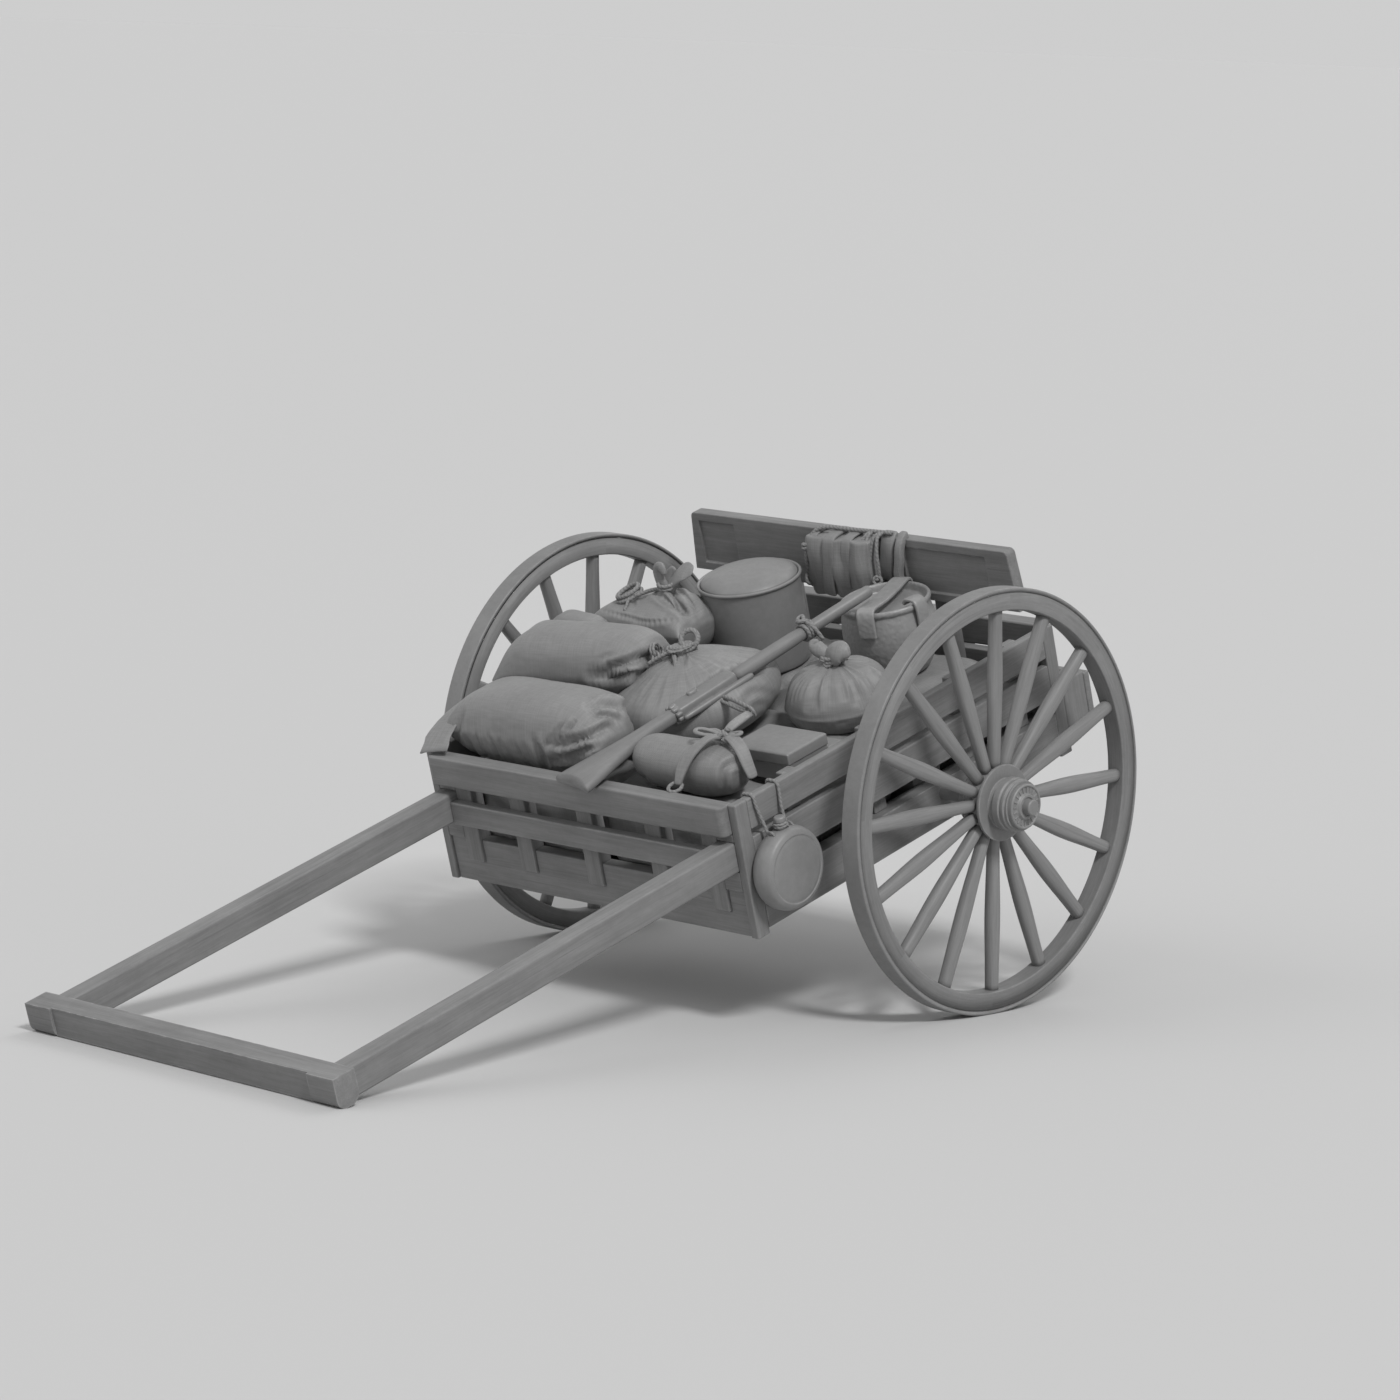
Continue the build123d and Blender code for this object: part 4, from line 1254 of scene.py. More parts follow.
class CART_OT_tied_sacks(bpy.types.Operator):
    """Gather and tie the three round sacks"""

    bl_idname = "cart.tied_sacks"
    bl_label = "Tied Sacks"

    def execute(self, context):
        rope = context.scene.cart_sizes.rope_radius
        self.tied_bag(rope)
        self.round_sack(rope)
        self.tied_sack(rope)
        return {"FINISHED"}

    def swell(self, bm, neck):
        """Let the cloth swell and crease below its tie."""
        return filled(bm, 3.5, 7, tied=lambda place: place.z > neck - 0.012 or place.z < 0.004)

    def leaves(self, mouth, square, rows):
        """Folds of cloth that stand out of a tied mouth."""
        # columns: steps from the mouth, facing, widths, thicknesses
        for steps, facing, widths, thicknesses in rows:
            yield band(set_off(mouth, steps), [facing] * len(steps), widths, thicknesses, square=square)

    def tied_bag(self, rope):
        """The bag at the left: a broad body with sewn corners and a tied, folded mouth."""
        bm = domed(sewn_bag(0.5, 0.34, 46, 32), 0.5, 0.34, 0.26)
        bm = filled(bm, 2.2, 14, bend=0.2, loose=0.04)
        height = 0.25
        fit(bm, (0.37, 0.22, height))
        for vert in bm.verts:
            vert.co.z = height * max(0.0, vert.co.z / height) ** 0.45
        moved(bm, on_bed(-0.385, -0.035, SACK_FLOOR, math.radians(2), (0.0, -0.02)))
        sculpt(bm, (-0.335, -0.02, 0.49), 0.1, (0, 0, 0.035))
        bm = finer(bm)
        folds = (
            (0.018, 0.02, ((-0.31, 0.56), (-0.26, 0.51), (-0.22, 0.46))),
            (0.014, 0.018, ((-0.36, 0.525), (-0.29, 0.485), (-0.23, 0.455))),
            (0.012, 0.016, ((-0.28, 0.56), (-0.22, 0.52), (-0.19, 0.46))),
            (0.006, 0.01, ((-0.45, 0.5), (-0.45, 0.46))),
            (0.006, 0.008, ((-0.58, 0.43), (-0.48, 0.42), (-0.4, 0.415), (-0.26, 0.44))),
        )
        creases(bm, -0.05, folds)
        mouth = Vector((-0.335, -0.02, 0.516))
        leaves = self.leaves(
            mouth,
            0.9,
            (
                (
                    (
                        (0, 0, -0.01),
                        (-0.012, -0.005, 0.03),
                        (-0.016, -0.005, 0.062),
                        (0.002, -0.008, 0.074),
                        (0.016, -0.01, 0.05),
                    ),
                    (0.2, -1, 0.2),
                    (0.04, 0.036, 0.034, 0.03, 0.012),
                    (0.034, 0.018, 0.016, 0.016, 0.012),
                ),
                (
                    ((0.004, 0.004, -0.01), (0.03, 0.012, 0.028), (0.066, 0.02, 0.056), (0.098, 0.024, 0.06)),
                    (-0.5, -0.75, 0.6),
                    (0.036, 0.052, 0.066, 0.03),
                    (0.036, 0.02, 0.014, 0.006),
                ),
                (
                    ((0, 0.01, -0.01), (-0.002, 0.02, 0.03), (0.02, 0.03, 0.06)),
                    (0.3, -1, 0.2),
                    (0.04, 0.04, 0.02),
                    (0.03, 0.016, 0.008),
                ),
            ),
        )
        load_piece("tied_bag_filled", joined([bm, *leaves]), "canvas", ("tied_bag",))
        lead = ((-0.43, -0.06, 0.5), (-0.41, -0.04, 0.506), (-0.38, -0.03, 0.515), (-0.35, -0.03, 0.52))
        ropes = [
            ring(mouth + Vector((0.004, 0, 0.004)), (0.15, -0.1, 1), 0.025, rope, turns=2),
            ring((-0.47, -0.045, 0.506), (-0.28, -0.25, 1), 0.036, 1.15 * rope),
            ring((-0.466, -0.045, 0.493), (-0.24, -0.2, 1), 0.04, rope),
            strand(lead, rope),
            strand(((-0.44, -0.075, 0.498), (-0.435, -0.09, 0.488), (-0.43, -0.11, 0.474)), 0.8 * rope),
        ]
        load_piece("tied_bag_rope", joined(ropes), "rope", levels=0)

    def round_sack(self, rope):
        """The large round sack under the gun, tied at its top."""
        neck = 0.222
        profile = (
            (0, 0), (0, 0.1), (0.01, 0.17), (0.045, 0.23), (0.09, 0.249), (0.14, 0.234), (0.182, 0.182),
            (0.205, 0.12), (0.216, 0.066), (0.223, 0.038), (0.23, 0.03), (0.24, 0.036), (0.247, 0.04),
            (0.249, 0.02), (0.247, 0),
        )
        bm = self.swell(gathered(profile, 9, 0.22, 23, neck, 0.196), neck)
        ruffle(bm, 0.008, 0.2, 6)
        moved(bm, on_bed(-0.008, -0.28, SACK_FLOOR, 0.0, (0.06, -0.1)))
        self.press(bm, 0.03)
        folds = (
            (0.006, 0.02, ((0.19, 0.34), (0.22, 0.37), (0.27, 0.38), (0.31, 0.36))),
            (0.005, 0.018, ((0.22, 0.32), (0.25, 0.345), (0.29, 0.34))),
            (0.006, 0.012, ((-0.05, 0.46), (-0.08, 0.42))),
            (0.006, 0.012, ((-0.02, 0.46), (-0.03, 0.42))),
        )
        creases(bm, -0.3, folds)
        load_piece("round_sack_filled", bm, "canvas", ("round_sack",))
        top = Vector((-0.034, -0.285, 0.462))
        right_end = ((-0.01, -0.03, 0.01), (0.012, -0.05, 0.002), (0.03, -0.07, -0.02), (0.05, -0.1, -0.045))
        left_end = ((-0.02, -0.03, 0.006), (-0.05, -0.05, 0), (-0.08, -0.07, -0.022))
        ropes = [
            ring(top, (-0.1, 0.05, 1), 0.036, rope, turns=2),
            ring(top + Vector((0.012, 0.02, 0.032)), (0.35, -0.75, 0.6), 0.026, 1.3 * rope),
            ring(top + Vector((-0.03, -0.02, 0.006)), (0.5, -0.6, 0.5), 0.012, 0.9 * rope),
            strand(set_off(top, right_end), 1.1 * rope),
            strand(set_off(top, left_end), rope),
        ]
        load_piece("round_sack_rope", joined(ropes), "rope", levels=0)

    def tied_sack(self, rope):
        """The sack at the right, with a knotted top and a hem round its foot."""
        neck_height = 0.166
        hem_height = 0.052
        profile = (
            (0, 0), (0, 0.1), (0.01, 0.134), (0.04, 0.155), (0.075, 0.158), (0.11, 0.148), (0.14, 0.118),
            (0.159, 0.074), (0.168, 0.04), (0.174, 0.032), (0.186, 0.036), (0.192, 0.02), (0.192, 0),
        )
        bm = self.swell(gathered(profile, 9, 0.5, 31, neck_height, 0.1), neck_height)
        ruffle(bm, 0.007, 0.15, 8)
        for vert in bm.verts:
            stitched = math.exp(-(((vert.co.z - hem_height) / 0.005) ** 2))
            below = 0.012 if vert.co.z < hem_height else 0.0
            vert.co.xy *= 1 + 0.022 * stitched + below * noise.noise(vert.co * 60)
        moved(bm, on_bed(0.36, -0.095, SACK_FLOOR, -0.6))
        neck = Vector((0.36, -0.095, 0.41))
        leaves = self.leaves(
            neck,
            1,
            (
                (
                    (
                        (-0.012, 0, -0.014),
                        (0.0, -0.008, 0.004),
                        (0.022, -0.014, 0.026),
                        (0.05, -0.012, 0.034),
                        (0.07, -0.006, 0.022),
                    ),
                    (0.3, -0.7, 0.6),
                    (0.034, 0.056, 0.072, 0.064, 0.012),
                    (0.034, 0.036, 0.036, 0.03, 0.008),
                ),
                (
                    (
                        (0.005, 0.0, -0.01),
                        (-0.022, -0.006, 0.016),
                        (-0.044, -0.012, 0.034),
                        (-0.056, -0.012, 0.046),
                        (-0.04, -0.008, 0.056),
                    ),
                    (0.3, -0.7, 0.5),
                    (0.03, 0.04, 0.046, 0.034, 0.01),
                    (0.03, 0.036, 0.034, 0.026, 0.008),
                ),
            ),
        )
        load_piece("tied_sack_filled", joined([bm, *leaves]), "canvas", ("tied_sack",))
        ropes = [
            ring(neck - Vector((0, 0, 0.004)), (0, 0, 1), 0.034, rope, turns=2),
            ring(neck + Vector((0.004, -0.03, 0.004)), (0.2, -0.8, 0.5), 0.012, 0.8 * rope),
        ]
        load_piece("tied_sack_rope", joined(ropes), "rope", levels=0)

    def press(self, bm, radius):
        """Press a trough into a sack where the gun lies on it."""
        axis = GUN_END - GUN_START
        flat = axis.to_2d()
        for vert in bm.verts:
            along = (vert.co.to_2d() - GUN_START.to_2d()).dot(flat) / flat.length_squared
            line = GUN_START + along * axis
            aside = (vert.co.to_2d() - line.to_2d()).length
            limit = line.z - radius + 6 * max(0.0, aside - 0.6 * radius) ** 2 / radius
            vert.co.z = min(vert.co.z, limit)


class CART_OT_cookware(bpy.types.Operator):
    """Make the pot, its lid, the kettle and the tin box"""

    bl_idname = "cart.cookware"
    bl_label = "Cookware"

    def execute(self, context):
        self.pot()
        self.kettle()
        self.tin_box()
        return {"FINISHED"}

    def pot(self):
        """The straight pot with its rolled rim, and its wide domed lid."""
        place = on_bed(-0.185, 0.17, TIN_FLOOR)
        top = 0.268
        roll = 0.0062
        rim = [
            (top - 0.007 + roll * math.sin(turn), 0.1495 + roll * math.cos(turn))
            for turn in (-1.4, -0.7, 0, 0.7, 1.5)
        ]
        body = (
            (0, 0), (0, 0.138), (0.004, 0.143), (0.012, 0.146), (0.08, 0.148),
            (top - 0.03, 0.1485),
            (top - 0.016, 0.1485),
            *rim,
            (top - 0.004, 0.145),
            (top - 0.02, 0.144),
            (top - 0.02, 0),
        )
        load_piece("cook_pot_beaten", moved(upright(turned(body)), place), "tinware", ("cook_pot",))
        rise = 0.034
        dome = [
            (top - 0.006 + rise * math.cos(step * math.pi / 20), 0.143 * math.sin(step * math.pi / 20))
            for step in range(9, -1, -1)
        ]
        skirt = ((top - 0.014, 0), (top - 0.014, 0.139), (top - 0.01, 0.143), (top - 0.004, 0.1435))
        lid = turned((*skirt, *dome))
        load_piece("pot_lid_beaten", moved(upright(lid), place), "tinware", ("pot_lid",))

    def kettle(self):
        """The barrel kettle with its rolled rim, sunk lid and strap handles."""
        profile = (
            (0, 0), (0, 0.09), (0.006, 0.1), (0.04, 0.12), (0.09, 0.135), (0.13, 0.1375), (0.17, 0.134),
            (0.196, 0.128), (0.2, 0.127), (0.205, 0.132), (0.213, 0.1345), (0.221, 0.131), (0.222, 0.124),
            (0.214, 0.12), (0.198, 0.119), (0.194, 0.116), (0.196, 0.06), (0.197, 0),
        )
        forms = [upright(turned(profile))]
        rise = Vector((0, 0, 1))
        # columns: direction round the rim, whether it crosses the lid, width
        for turn, crosses, width in ((-73, True, 0.056), (-2, False, 0.046)):
            out = Vector((math.cos(math.radians(turn)), math.sin(math.radians(turn)), 0))
            # columns: reach out, height, how far it faces out and up
            shape = [(0.142, 0.15, 1, -0.1), (0.143, 0.17, 1, 0), (0.1425, 0.2, 1, 0.1)]
            shape += [(0.138, 0.222, 0.8, 0.7), (0.126, 0.232, 0, 1), (0.1, 0.231, -0.1, 1)]
            if crosses:
                shape += [(0.04, 0.226, 0, 1), (-0.04, 0.226, 0, 1), (-0.11, 0.23, 0, 1)]
                shape += [(-0.138, 0.222, -0.8, 0.7), (-0.143, 0.19, -1, 0), (-0.142, 0.16, -1, 0)]
            else:
                shape += [(0.09, 0.216, -0.6, 0.6)]
            points = [out * reach + rise * height for reach, height, _, _ in shape]
            normals = [out * away + rise * up for _, _, away, up in shape]
            forms.append(band(points, normals, width, 0.011, square=0.28))
        bm = moved(joined(forms), on_bed(0.262, 0.25, TIN_FLOOR))
        # The kettle's tin is painted lighter than the pot's, as painted light
        load_piece("kettle_beaten", bm, "kettle_tin_painted_lighter", ("kettle",))

    def tin_box(self):
        """The tin box with its sloping lid edge, and a flat packet behind it."""
        forms = []
        # columns: middle of the box, size, inset of the top
        for middle, size, inset in (
            ((0, 0, 0.027), (0.212, 0.158, 0.054), 0.002),
            ((0, 0, 0.066), (0.219, 0.165, 0.032), 0.012),
            ((0.075, 0.105, 0.022), (0.08, 0.06, 0.04), 0.006),
        ):
            bm = moved(block(size), Matrix.Translation(middle))
            top = [face for face in bm.faces if face.normal.z > 0.9]
            bmesh.ops.inset_region(bm, faces=top, thickness=inset, depth=0.3 * inset)
            ease(bm, 0.0035)
            forms.append(bm)
        bm = moved(joined(forms), on_bed(0.433, -0.44, TIN_FLOOR))
        load_piece("tin_box_beaten", bm, "tinware", ("tin_box",), levels=0, even=True)


class CART_OT_bedroll(bpy.types.Operator):
    """Roll the bedding and tie it down with two straps"""

    bl_idname = "cart.bedroll"
    bl_label = "Bedroll"

    def execute(self, context):
        self.roll(Vector((0.3, -0.65, 0.314)))
        self.straps(context.scene.cart_sizes.rope_radius)
        return {"FINISHED"}

    def roll(self, centre):
        """The bundle, full in the middle, with its ends tucked in."""
        half = 0.182
        radius = 0.0805
        line = []
        for step in range(61):
            turn = math.pi * (step / 60 - 0.5)
            along = math.copysign(abs(math.sin(turn)) ** 0.5, turn)
            line.append((half * along, radius * max(0.0, math.cos(turn)) ** 0.52))
        bm = turned(line, steps=112)
        wrap_cloth(bm)
        ruffle(bm, 0.01, 0.12, 12)
        moved(bm, Matrix.Translation(centre))
        for vert in bm.verts:
            vert.co.z = max(vert.co.z, centre.z - 0.077)
            vert.co.z -= 0.12 * max(0.0, vert.co.z - centre.z)
        folds = (
            (0.01, 0.016, ((0.43, 0.25), (0.44, 0.29), (0.46, 0.335), (0.52, 0.365))),
            (0.008, 0.01, ((0.13, 0.27), (0.14, 0.24))),
            (0.006, 0.012, ((0.3, 0.36), (0.36, 0.39))),
        )
        creases(bm, -0.68, folds)
        smoothed(bm, 2)
        load_piece("bedroll_tied", bm, "blanket", ("bedroll",))

    def straps(self, rope):
        """Two broad straps that meet in a looped knot, and the strap on to the gun's sling ring."""
        knot = Vector((0.42, -0.632, 0.402))
        over_front = (
            (0.4, -0.67, 0.408),
            (0.375, -0.715, 0.382),
            (0.358, -0.745, 0.345),
            (0.352, -0.768, 0.302),
        )
        over_end = ((0.455, -0.634, 0.404), (0.49, -0.64, 0.378), (0.512, -0.648, 0.34), (0.53, -0.652, 0.3))
        to_gun = ((0.4, -0.57, 0.405), (0.37, -0.5, 0.395), (0.352, -0.447, 0.388))
        forms = []
        # columns: places after the knot, facing, widths
        for places, facing, widths in (
            (
                over_front,
                ((0, -0.3, 1), (-0.2, -0.35, 1), (-0.2, -0.8, 0.8), (-0.1, -1, 0.3), (-0.1, -1, 0.1)),
                (0.018, 0.034, 0.042, 0.04, 0.022),
            ),
            (
                over_end,
                ((0, -0.3, 1), (0.3, -0.3, 1), (0.7, -0.4, 0.7), (1, -0.3, 0.3), (1, -0.2, 0.2)),
                (0.018, 0.034, 0.038, 0.036, 0.03),
            ),
            (
                to_gun,
                ((0, -0.3, 1), (0.5, 0, 1), (0.6, 0.1, 1), (0.6, 0.2, 1)),
                (0.016, 0.026, 0.026, 0.022),
            ),
        ):
            forms.append(band((knot, *places), facing, widths, 0.012, square=0.6, ribs=5))
        # columns: way of each loop from the knot, half width
        for way, spread in (
            ((-0.07, -0.02, 0.016), 0.014),
            ((-0.06, 0.014, 0.002), 0.012),
            ((0.045, 0.02, 0.006), 0.01),
        ):
            out = Vector(way)
            side = out.cross(Vector((0, 0, 1))).normalized() * spread
            turns = ((0, 0), (0.5, 1), (0.95, 1), (1.1, 0), (0.95, -1), (0.5, -1), (0, 0))
            places = [knot + along * out + aside * side for along, aside in turns]
            forms.append(band(places, [(0, 0, 1)] * len(turns), 0.014, 0.009, square=0.8))
        load_piece("bedroll_straps", joined(forms), "canvas_strap")
        upper = ((0.345, -0.43, 0.39), (0.29, -0.41, 0.392), (0.22, -0.385, 0.39), (0.175, -0.372, 0.386))
        lower = ((0.345, -0.432, 0.382), (0.3, -0.422, 0.376), (0.23, -0.4, 0.378), (0.172, -0.385, 0.38))
        ropes = [
            ring(knot + Vector((0.004, 0, -0.006)), (0.6, 0.6, 0.5), 0.015, 1.2 * rope, turns=2),
            ring(knot, (-0.6, 0.4, 0.6), 0.013, 1.1 * rope),
            ring((0.35, -0.776, 0.3), (0.1, -0.3, 1), 0.02, 0.9 * rope),
            ring((0.346, -0.437, 0.388), (0.2, 0.9, 0.3), 0.017, 0.75 * rope),
            strand(upper, 1.1 * rope),
            strand(lower, 0.9 * rope),
        ]
        load_piece("bedroll_ties", joined(ropes), "rope", levels=0)


class CART_OT_long_gun(bpy.types.Operator):
    """Shape the long gun, with its stock, breech and barrel closed and plain"""

    bl_idname = "cart.long_gun"
    bl_label = "Long Gun"

    def execute(self, context):
        ahead = (GUN_END - GUN_START).normalized()
        up = Vector((0, 0, 1)) - ahead * ahead.z
        up.normalize()
        lie = Matrix((ahead, up.cross(ahead), up)).transposed().to_4x4()
        self.place = Matrix.Translation(GUN_START) @ lie
        self.stock()
        self.steel()
        self.ties(context.scene.cart_sizes.rope_radius)
        return {"FINISHED"}

    def shaped(self, rows, sides=24, square=1.0):
        """A form drawn along the gun through rows of (along, aside, up, width, thickness)."""
        turn = Matrix.Rotation(math.pi / 2, 4, "Y")
        sections = []
        for along, aside, up, width, thick in rows:
            scale = Matrix.Diagonal((thick / 2, width / 2, 1, 1))
            sections.append(Matrix.Translation((along, aside, up)) @ turn @ scale)
        return drawn(sections, sides=sides, square=square)

    def stock(self):
        """The stock from its hollow butt to the wrist, and the fore-end under the barrel."""
        butt = self.shaped(
            (
                (0.0, -0.018, 0, 0.15, 0.036),
                (0.004, -0.018, 0, 0.158, 0.043),
                (0.02, -0.0175, 0, 0.153, 0.046),
                (0.06, -0.015, 0, 0.134, 0.047),
                (0.12, -0.0105, 0, 0.106, 0.046),
                (0.18, -0.0065, 0, 0.08, 0.044),
                (0.24, -0.003, 0, 0.057, 0.042),
                (0.3, 0, 0, 0.048, 0.04),
                (0.37, 0, 0, 0.046, 0.041),
                (0.4, 0, 0, 0.048, 0.042),
            ),
            square=0.78,
        )
        for vert in butt.verts:
            if vert.co.x < 0.012:
                reach = (vert.co.y + 0.018) / 0.078
                vert.co.x += 0.016 * (1 - reach * reach)
        fore = self.shaped(
            (
                (0.6, 0, -0.001, 0.042, 0.042),
                (0.64, 0, -0.001, 0.045, 0.044),
                (0.86, 0, 0, 0.043, 0.042),
                (0.875, 0, 0, 0.036, 0.036),
            )
        )
        bm = joined([butt, fore])
        grain = bm.verts.layers.float_vector.new("grain")
        for vert in bm.verts:
            vert[grain] = (vert.co.y, vert.co.z, vert.co.x)
        load_piece("gun_stock_oiled", moved(bm, self.place), "gun_wood", ("gun_stock",))

    def steel(self):
        """The closed breech with its button and collar, the tube beside it and the barrel."""
        breech = self.shaped(
            (
                (0.388, 0, 0, 0.048, 0.044),
                (0.392, 0, 0, 0.062, 0.05),
                (0.402, 0, 0, 0.066, 0.053),
                (0.56, 0, 0, 0.064, 0.052),
                (0.59, 0, 0, 0.062, 0.05),
                (0.602, 0, 0, 0.054, 0.047),
                (0.606, 0, 0, 0.04, 0.04),
            ),
            square=0.5,
        )
        rows = ((0.452, 0.012), (0.456, 0.02), (0.482, 0.02), (0.486, 0.012))
        button = self.shaped([(along, 0.006, 0.027, width, 0.018) for along, width in rows], sides=16)
        rows = ((0.396, 0.012), (0.402, 0.022), (0.64, 0.022), (0.65, 0.014))
        tube = self.shaped([(along, -0.034, -0.008, wide, wide) for along, wide in rows], sides=20)
        rows = ((0.6, 0.036), (0.86, 0.0375), (1.09, 0.036), (1.112, 0.036), (1.119, 0.032))
        rows += ((1.1185, 0.02), (1.09, 0.018))
        barrel = self.shaped([(along, 0, 0, wide, wide) for along, wide in rows])
        collar = []
        for index in range(9):
            turn = index * math.tau / 9
            aside, up = 0.027 * math.cos(turn), 0.021 * math.sin(turn)
            shift = 0.002 * (index % 3)
            rows = [(along + shift, aside, up, 0.017, 0.016) for along in (0.378, 0.383, 0.394, 0.4)]
            collar.append(self.shaped(rows, sides=10))
        bm = moved(joined([breech, button, tube, barrel, *collar]), self.place)
        load_piece("gun_steel_worn", bm, "gun_steel", ("gun_barrel",))

    def ties(self, rope):
        """The cord wound round the barrel, with its loop and its loose end."""
        loop = ((0.88, 0.0, 0.03), (0.9, 0.02, 0.036), (0.884, 0.034, 0.03), (0.87, 0.012, 0.034))
        ties = [ring((along, 0, 0), (1, 0.12, 0), 0.0245, rope) for along in (0.868, 0.88, 0.892)]
        ties.append(ring((0.878, 0.004, 0.03), (0.4, 0.3, 1), 0.014, rope))
        ties.append(strand(loop, rope))
        ties.append(strand(((0.88, -0.01, 0.03), (0.892, -0.032, 0.012), (0.897, -0.042, -0.03)), rope))
        load_piece("gun_ties", moved(joined(ties), self.place), "rope", levels=0)


class CART_OT_canteen(bpy.types.Operator):
    """Make the canteen and the two cords that hold it to the rail"""

    bl_idname = "cart.canteen"
    bl_label = "Canteen"

    def execute(self, context):
        middle = Vector((0.6413, -0.692, 0.07))
        self.flask(middle)
        self.cords(middle)
        return {"FINISHED"}

    def flask(self, middle):
        """The round flask with a bead on each face, and its neck."""
        half = (
            (0.039, 0), (0.0388, 0.05), (0.037, 0.08), (0.034, 0.092), (0.0355, 0.096), (0.034, 0.101),
            (0.028, 0.11), (0.014, 0.1165), (0, 0.118),
        )
        other = [(-along, radius) for along, radius in reversed(half[:-1])]
        line = smooth_line([(*place, 0) for place in (*half, *other)], 4)
        body = turned([place.to_2d() for place in line], steps=96)
        mouth = ((0.135, 0.014), (0.137, 0.017), (0.148, 0.017), (0.152, 0.014), (0.152, 0))
        neck = turned(((0.1, 0), (0.1, 0.014), *mouth))
        ease(upright(neck), 0.0015, angle=35, segments=2)
        bm = moved(joined([body, neck]), Matrix.Translation(middle))
        load_piece("canteen_beaten", bm, "tinware", ("canteen",))

    def cords(self, middle):
        """Two cords over the rail down to the flask, and the cord wound round its neck."""
        cords = []
        for spread in (-0.049, 0.049):
            y = middle.y + spread
            points = (
                (0.5687, y, 0.206),
                (0.5687, y, 0.28),
                (0.5687, y, 0.2993),
                (0.588, y, 0.2993),
                (0.6073, y, 0.2993),
                (0.6085, y, 0.27),
                (0.615, y - 0.2 * spread, 0.22),
                (0.632, y - 0.25 * spread, 0.165),
                (0.636, y - 0.1 * spread, 0.15),
            )
            cords.append(strand(points, 0.005))
        for spread in (-0.038, 0.038):
            cords.append(ring((0.638, middle.y + spread, 0.178), (0, 1, 0.2), 0.013, 0.0035))
        cords.append(ring((middle.x, middle.y, 0.19), (0, 0, 1), 0.0185, 0.004, turns=2))
        load_piece("canteen_cords_wound", joined(cords), "rope", ("canteen_cords",), levels=0)


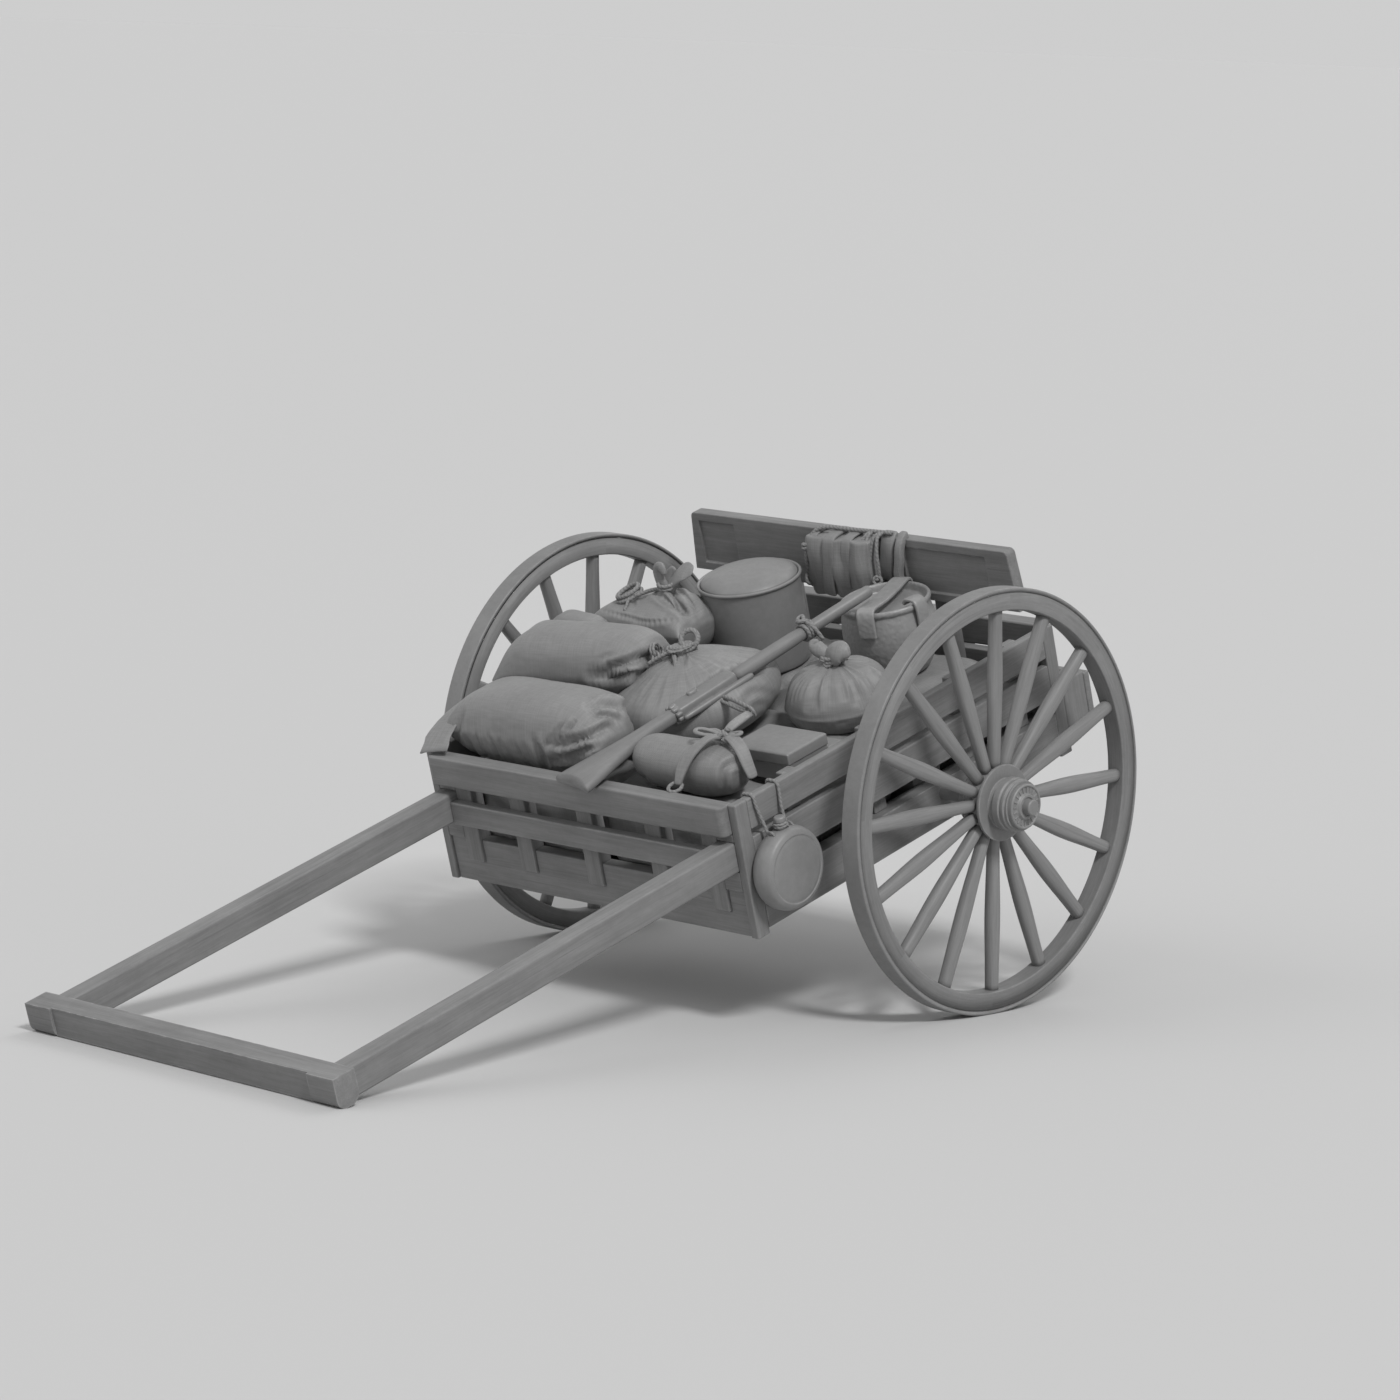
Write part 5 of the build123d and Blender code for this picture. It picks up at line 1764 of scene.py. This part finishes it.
class CART_OT_pack(bpy.types.Operator):
    """Hang the pack with its straps and ropes on the tailboard"""

    bl_idname = "cart.pack"
    bl_label = "Pack"

    def execute(self, context):
        rope = context.scene.cart_sizes.rope_radius
        low, high = 0.397, 0.575
        self.body(low, high)
        self.flaps(low, high)
        self.ropes(low, high, rope)
        return {"FINISHED"}

    def body(self, low, high):
        """The pack's soft body, in upright folds."""
        depth = 0.062
        bm = block((1, 1, 1))
        bmesh.ops.subdivide_edges(bm, edges=bm.edges, cuts=15, use_grid_fill=True)
        ease(bm, 0.04, angle=50)
        moved(bm, Matrix.Diagonal((0.24, depth, high - low, 1)))
        for vert in bm.verts:
            front = max(0.0, 0.5 - vert.co.y / depth)
            fold = math.cos(vert.co.x * 78) + 0.5 * math.cos(vert.co.x * 130 + 1)
            bulge = 1 - (2 * vert.co.z / (high - low)) ** 2
            vert.co.y -= front * (0.007 * fold + 0.012 * bulge)
        ruffle(bm, 0.006, 0.06, 15)
        moved(bm, on_bed(0.022, 0.366, (low + high) / 2))
        load_piece("backpack_filled", wrap_cloth(bm), "canvas", ("backpack",))

    def flaps(self, low, high):
        """The pack's straps and tongues, folded over the board's top edge."""
        forms = []
        # columns: place across, lowest point, width, thickness, reach out from the board
        for x, foot, width, thickness, out in (
            (0.0, low + 0.006, 0.042, 0.011, 0.32),
            (0.062, low + 0.03, 0.036, 0.008, 0.328),
            (-0.07, low + 0.02, 0.026, 0.008, 0.33),
            (0.175, low + 0.05, 0.05, 0.018, 0.384),
            (0.226, low + 0.05, 0.026, 0.024, 0.378),
        ):
            points = [
                (x - 0.02, out + 0.006, foot),
                (x - 0.015, out, foot + 0.03),
                (x - 0.005, out, (foot + high) / 2),
                (x, out + 0.006, high - 0.02),
                (x, out + 0.025, high + 0.004),
                (x, 0.418, high + 0.008),
            ]
            normals = [(0, -1, -0.3), (0, -1, 0), (0, -1, 0.1), (0, -1, 0.5), (0, -0.5, 1), (0, 0, 1)]
            forms.append(band(points, normals, width, thickness, square=0.4))
        load_piece("pack_straps", joined(forms), "canvas_strap")

    def ropes(self, low, high, rope):
        """The ropes that hang over the board in long loops."""
        ropes = []
        # columns: place across, spread of the loop, lowest point, reach out from the board
        for x, spread, foot, out in (
            (0.115, 0.012, low + 0.055, 0.345),
            (0.15, 0.013, low + 0.05, 0.352),
        ):
            points = [
                (x + 0.01, 0.402, high + 0.012),
                (x - 0.4 * spread, 0.37, high + 0.014),
                (x - spread, out, high - 0.04),
                (x - 1.3 * spread, out - 0.004, high - 0.09),
                (x - 0.4 * spread, out - 0.002, foot),
                (x + 0.8 * spread, out - 0.002, foot + 0.01),
                (x + 1.1 * spread, out - 0.004, high - 0.08),
                (x + 0.9 * spread, out, high - 0.03),
                (x + 0.6 * spread, 0.37, high + 0.014),
            ]
            ropes.append(strand(points, 0.9 * rope, closed=True))
        for x, z in ((0.105, 0.062), (0.128, 0.07), (0.158, 0.064)):
            ropes.append(ring((x, 0.342, low + z), (0.5, -0.8, 0.2), 0.012, 0.8 * rope))
        link = ((0.1, 0.341, low + 0.066), (0.13, 0.338, low + 0.06), (0.162, 0.342, low + 0.068))
        ropes.append(strand(link, 0.8 * rope))
        points = [
            (-0.103, 0.338, low + 0.03),
            (-0.101, 0.33, low + 0.09),
            (-0.094, 0.333, high - 0.03),
            (-0.075, 0.36, high + 0.014),
            (-0.03, 0.375, high + 0.022),
            (0.03, 0.385, high + 0.016),
            (0.1, 0.39, high + 0.016),
            (0.19, 0.4, high + 0.014),
        ]
        ropes.append(strand(points, 1.1 * rope))
        ropes.append(ring((-0.096, 0.333, high - 0.042), (0.1, 0.1, 1), 0.009, rope, turns=2))
        ropes.append(ring((-0.104, 0.333, low + 0.045), (1, 0.2, 0.3), 0.015, 0.9 * rope))
        ropes.append(ring((-0.1, 0.335, low + 0.04), (0.3, 1, 0.2), 0.014, 0.8 * rope))
        load_piece("pack_ropes", joined(ropes), "rope", levels=0)


class CART_PT_panel(bpy.types.Panel):
    """Lists the cart's pieces and settings"""

    bl_label = "Supply Cart"
    bl_idname = "CART_PT_panel"
    bl_space_type = "VIEW_3D"
    bl_region_type = "UI"
    bl_category = "Supply Cart"

    def draw(self, context):
        layout = self.layout
        for settings in (context.scene.cart_finish, context.scene.cart_sizes):
            for name in settings.bl_rna.properties.keys():
                if name not in {"rna_type", "name"}:
                    layout.prop(settings, name)
        for operator in OPERATORS:
            layout.operator(operator.bl_idname)


OPERATORS = (
    CART_OT_stage,
    CART_OT_finishes,
    CART_OT_wheels,
    CART_OT_timbers,
    CART_OT_lower_sacks,
    CART_OT_flour_sacks,
    CART_OT_tied_sacks,
    CART_OT_cookware,
    CART_OT_bedroll,
    CART_OT_long_gun,
    CART_OT_canteen,
    CART_OT_pack,
)
CLASSES = (CartFinish, CartSizes, *OPERATORS, CART_PT_panel)


def register():
    """Register the classes and the scene's settings."""
    for item in CLASSES:
        bpy.utils.register_class(item)
    bpy.types.Scene.cart_finish = PointerProperty(type=CartFinish)
    bpy.types.Scene.cart_sizes = PointerProperty(type=CartSizes)


def unregister():
    """Remove the scene's settings and the classes."""
    del bpy.types.Scene.cart_sizes
    del bpy.types.Scene.cart_finish
    for item in reversed(CLASSES):
        bpy.utils.unregister_class(item)


def main():
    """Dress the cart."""
    register()
    for operator in OPERATORS:
        group, name = operator.bl_idname.split(".")
        getattr(getattr(bpy.ops, group), name)()
    bpy.context.view_layer.update()


if __name__ == "__main__":
    main()
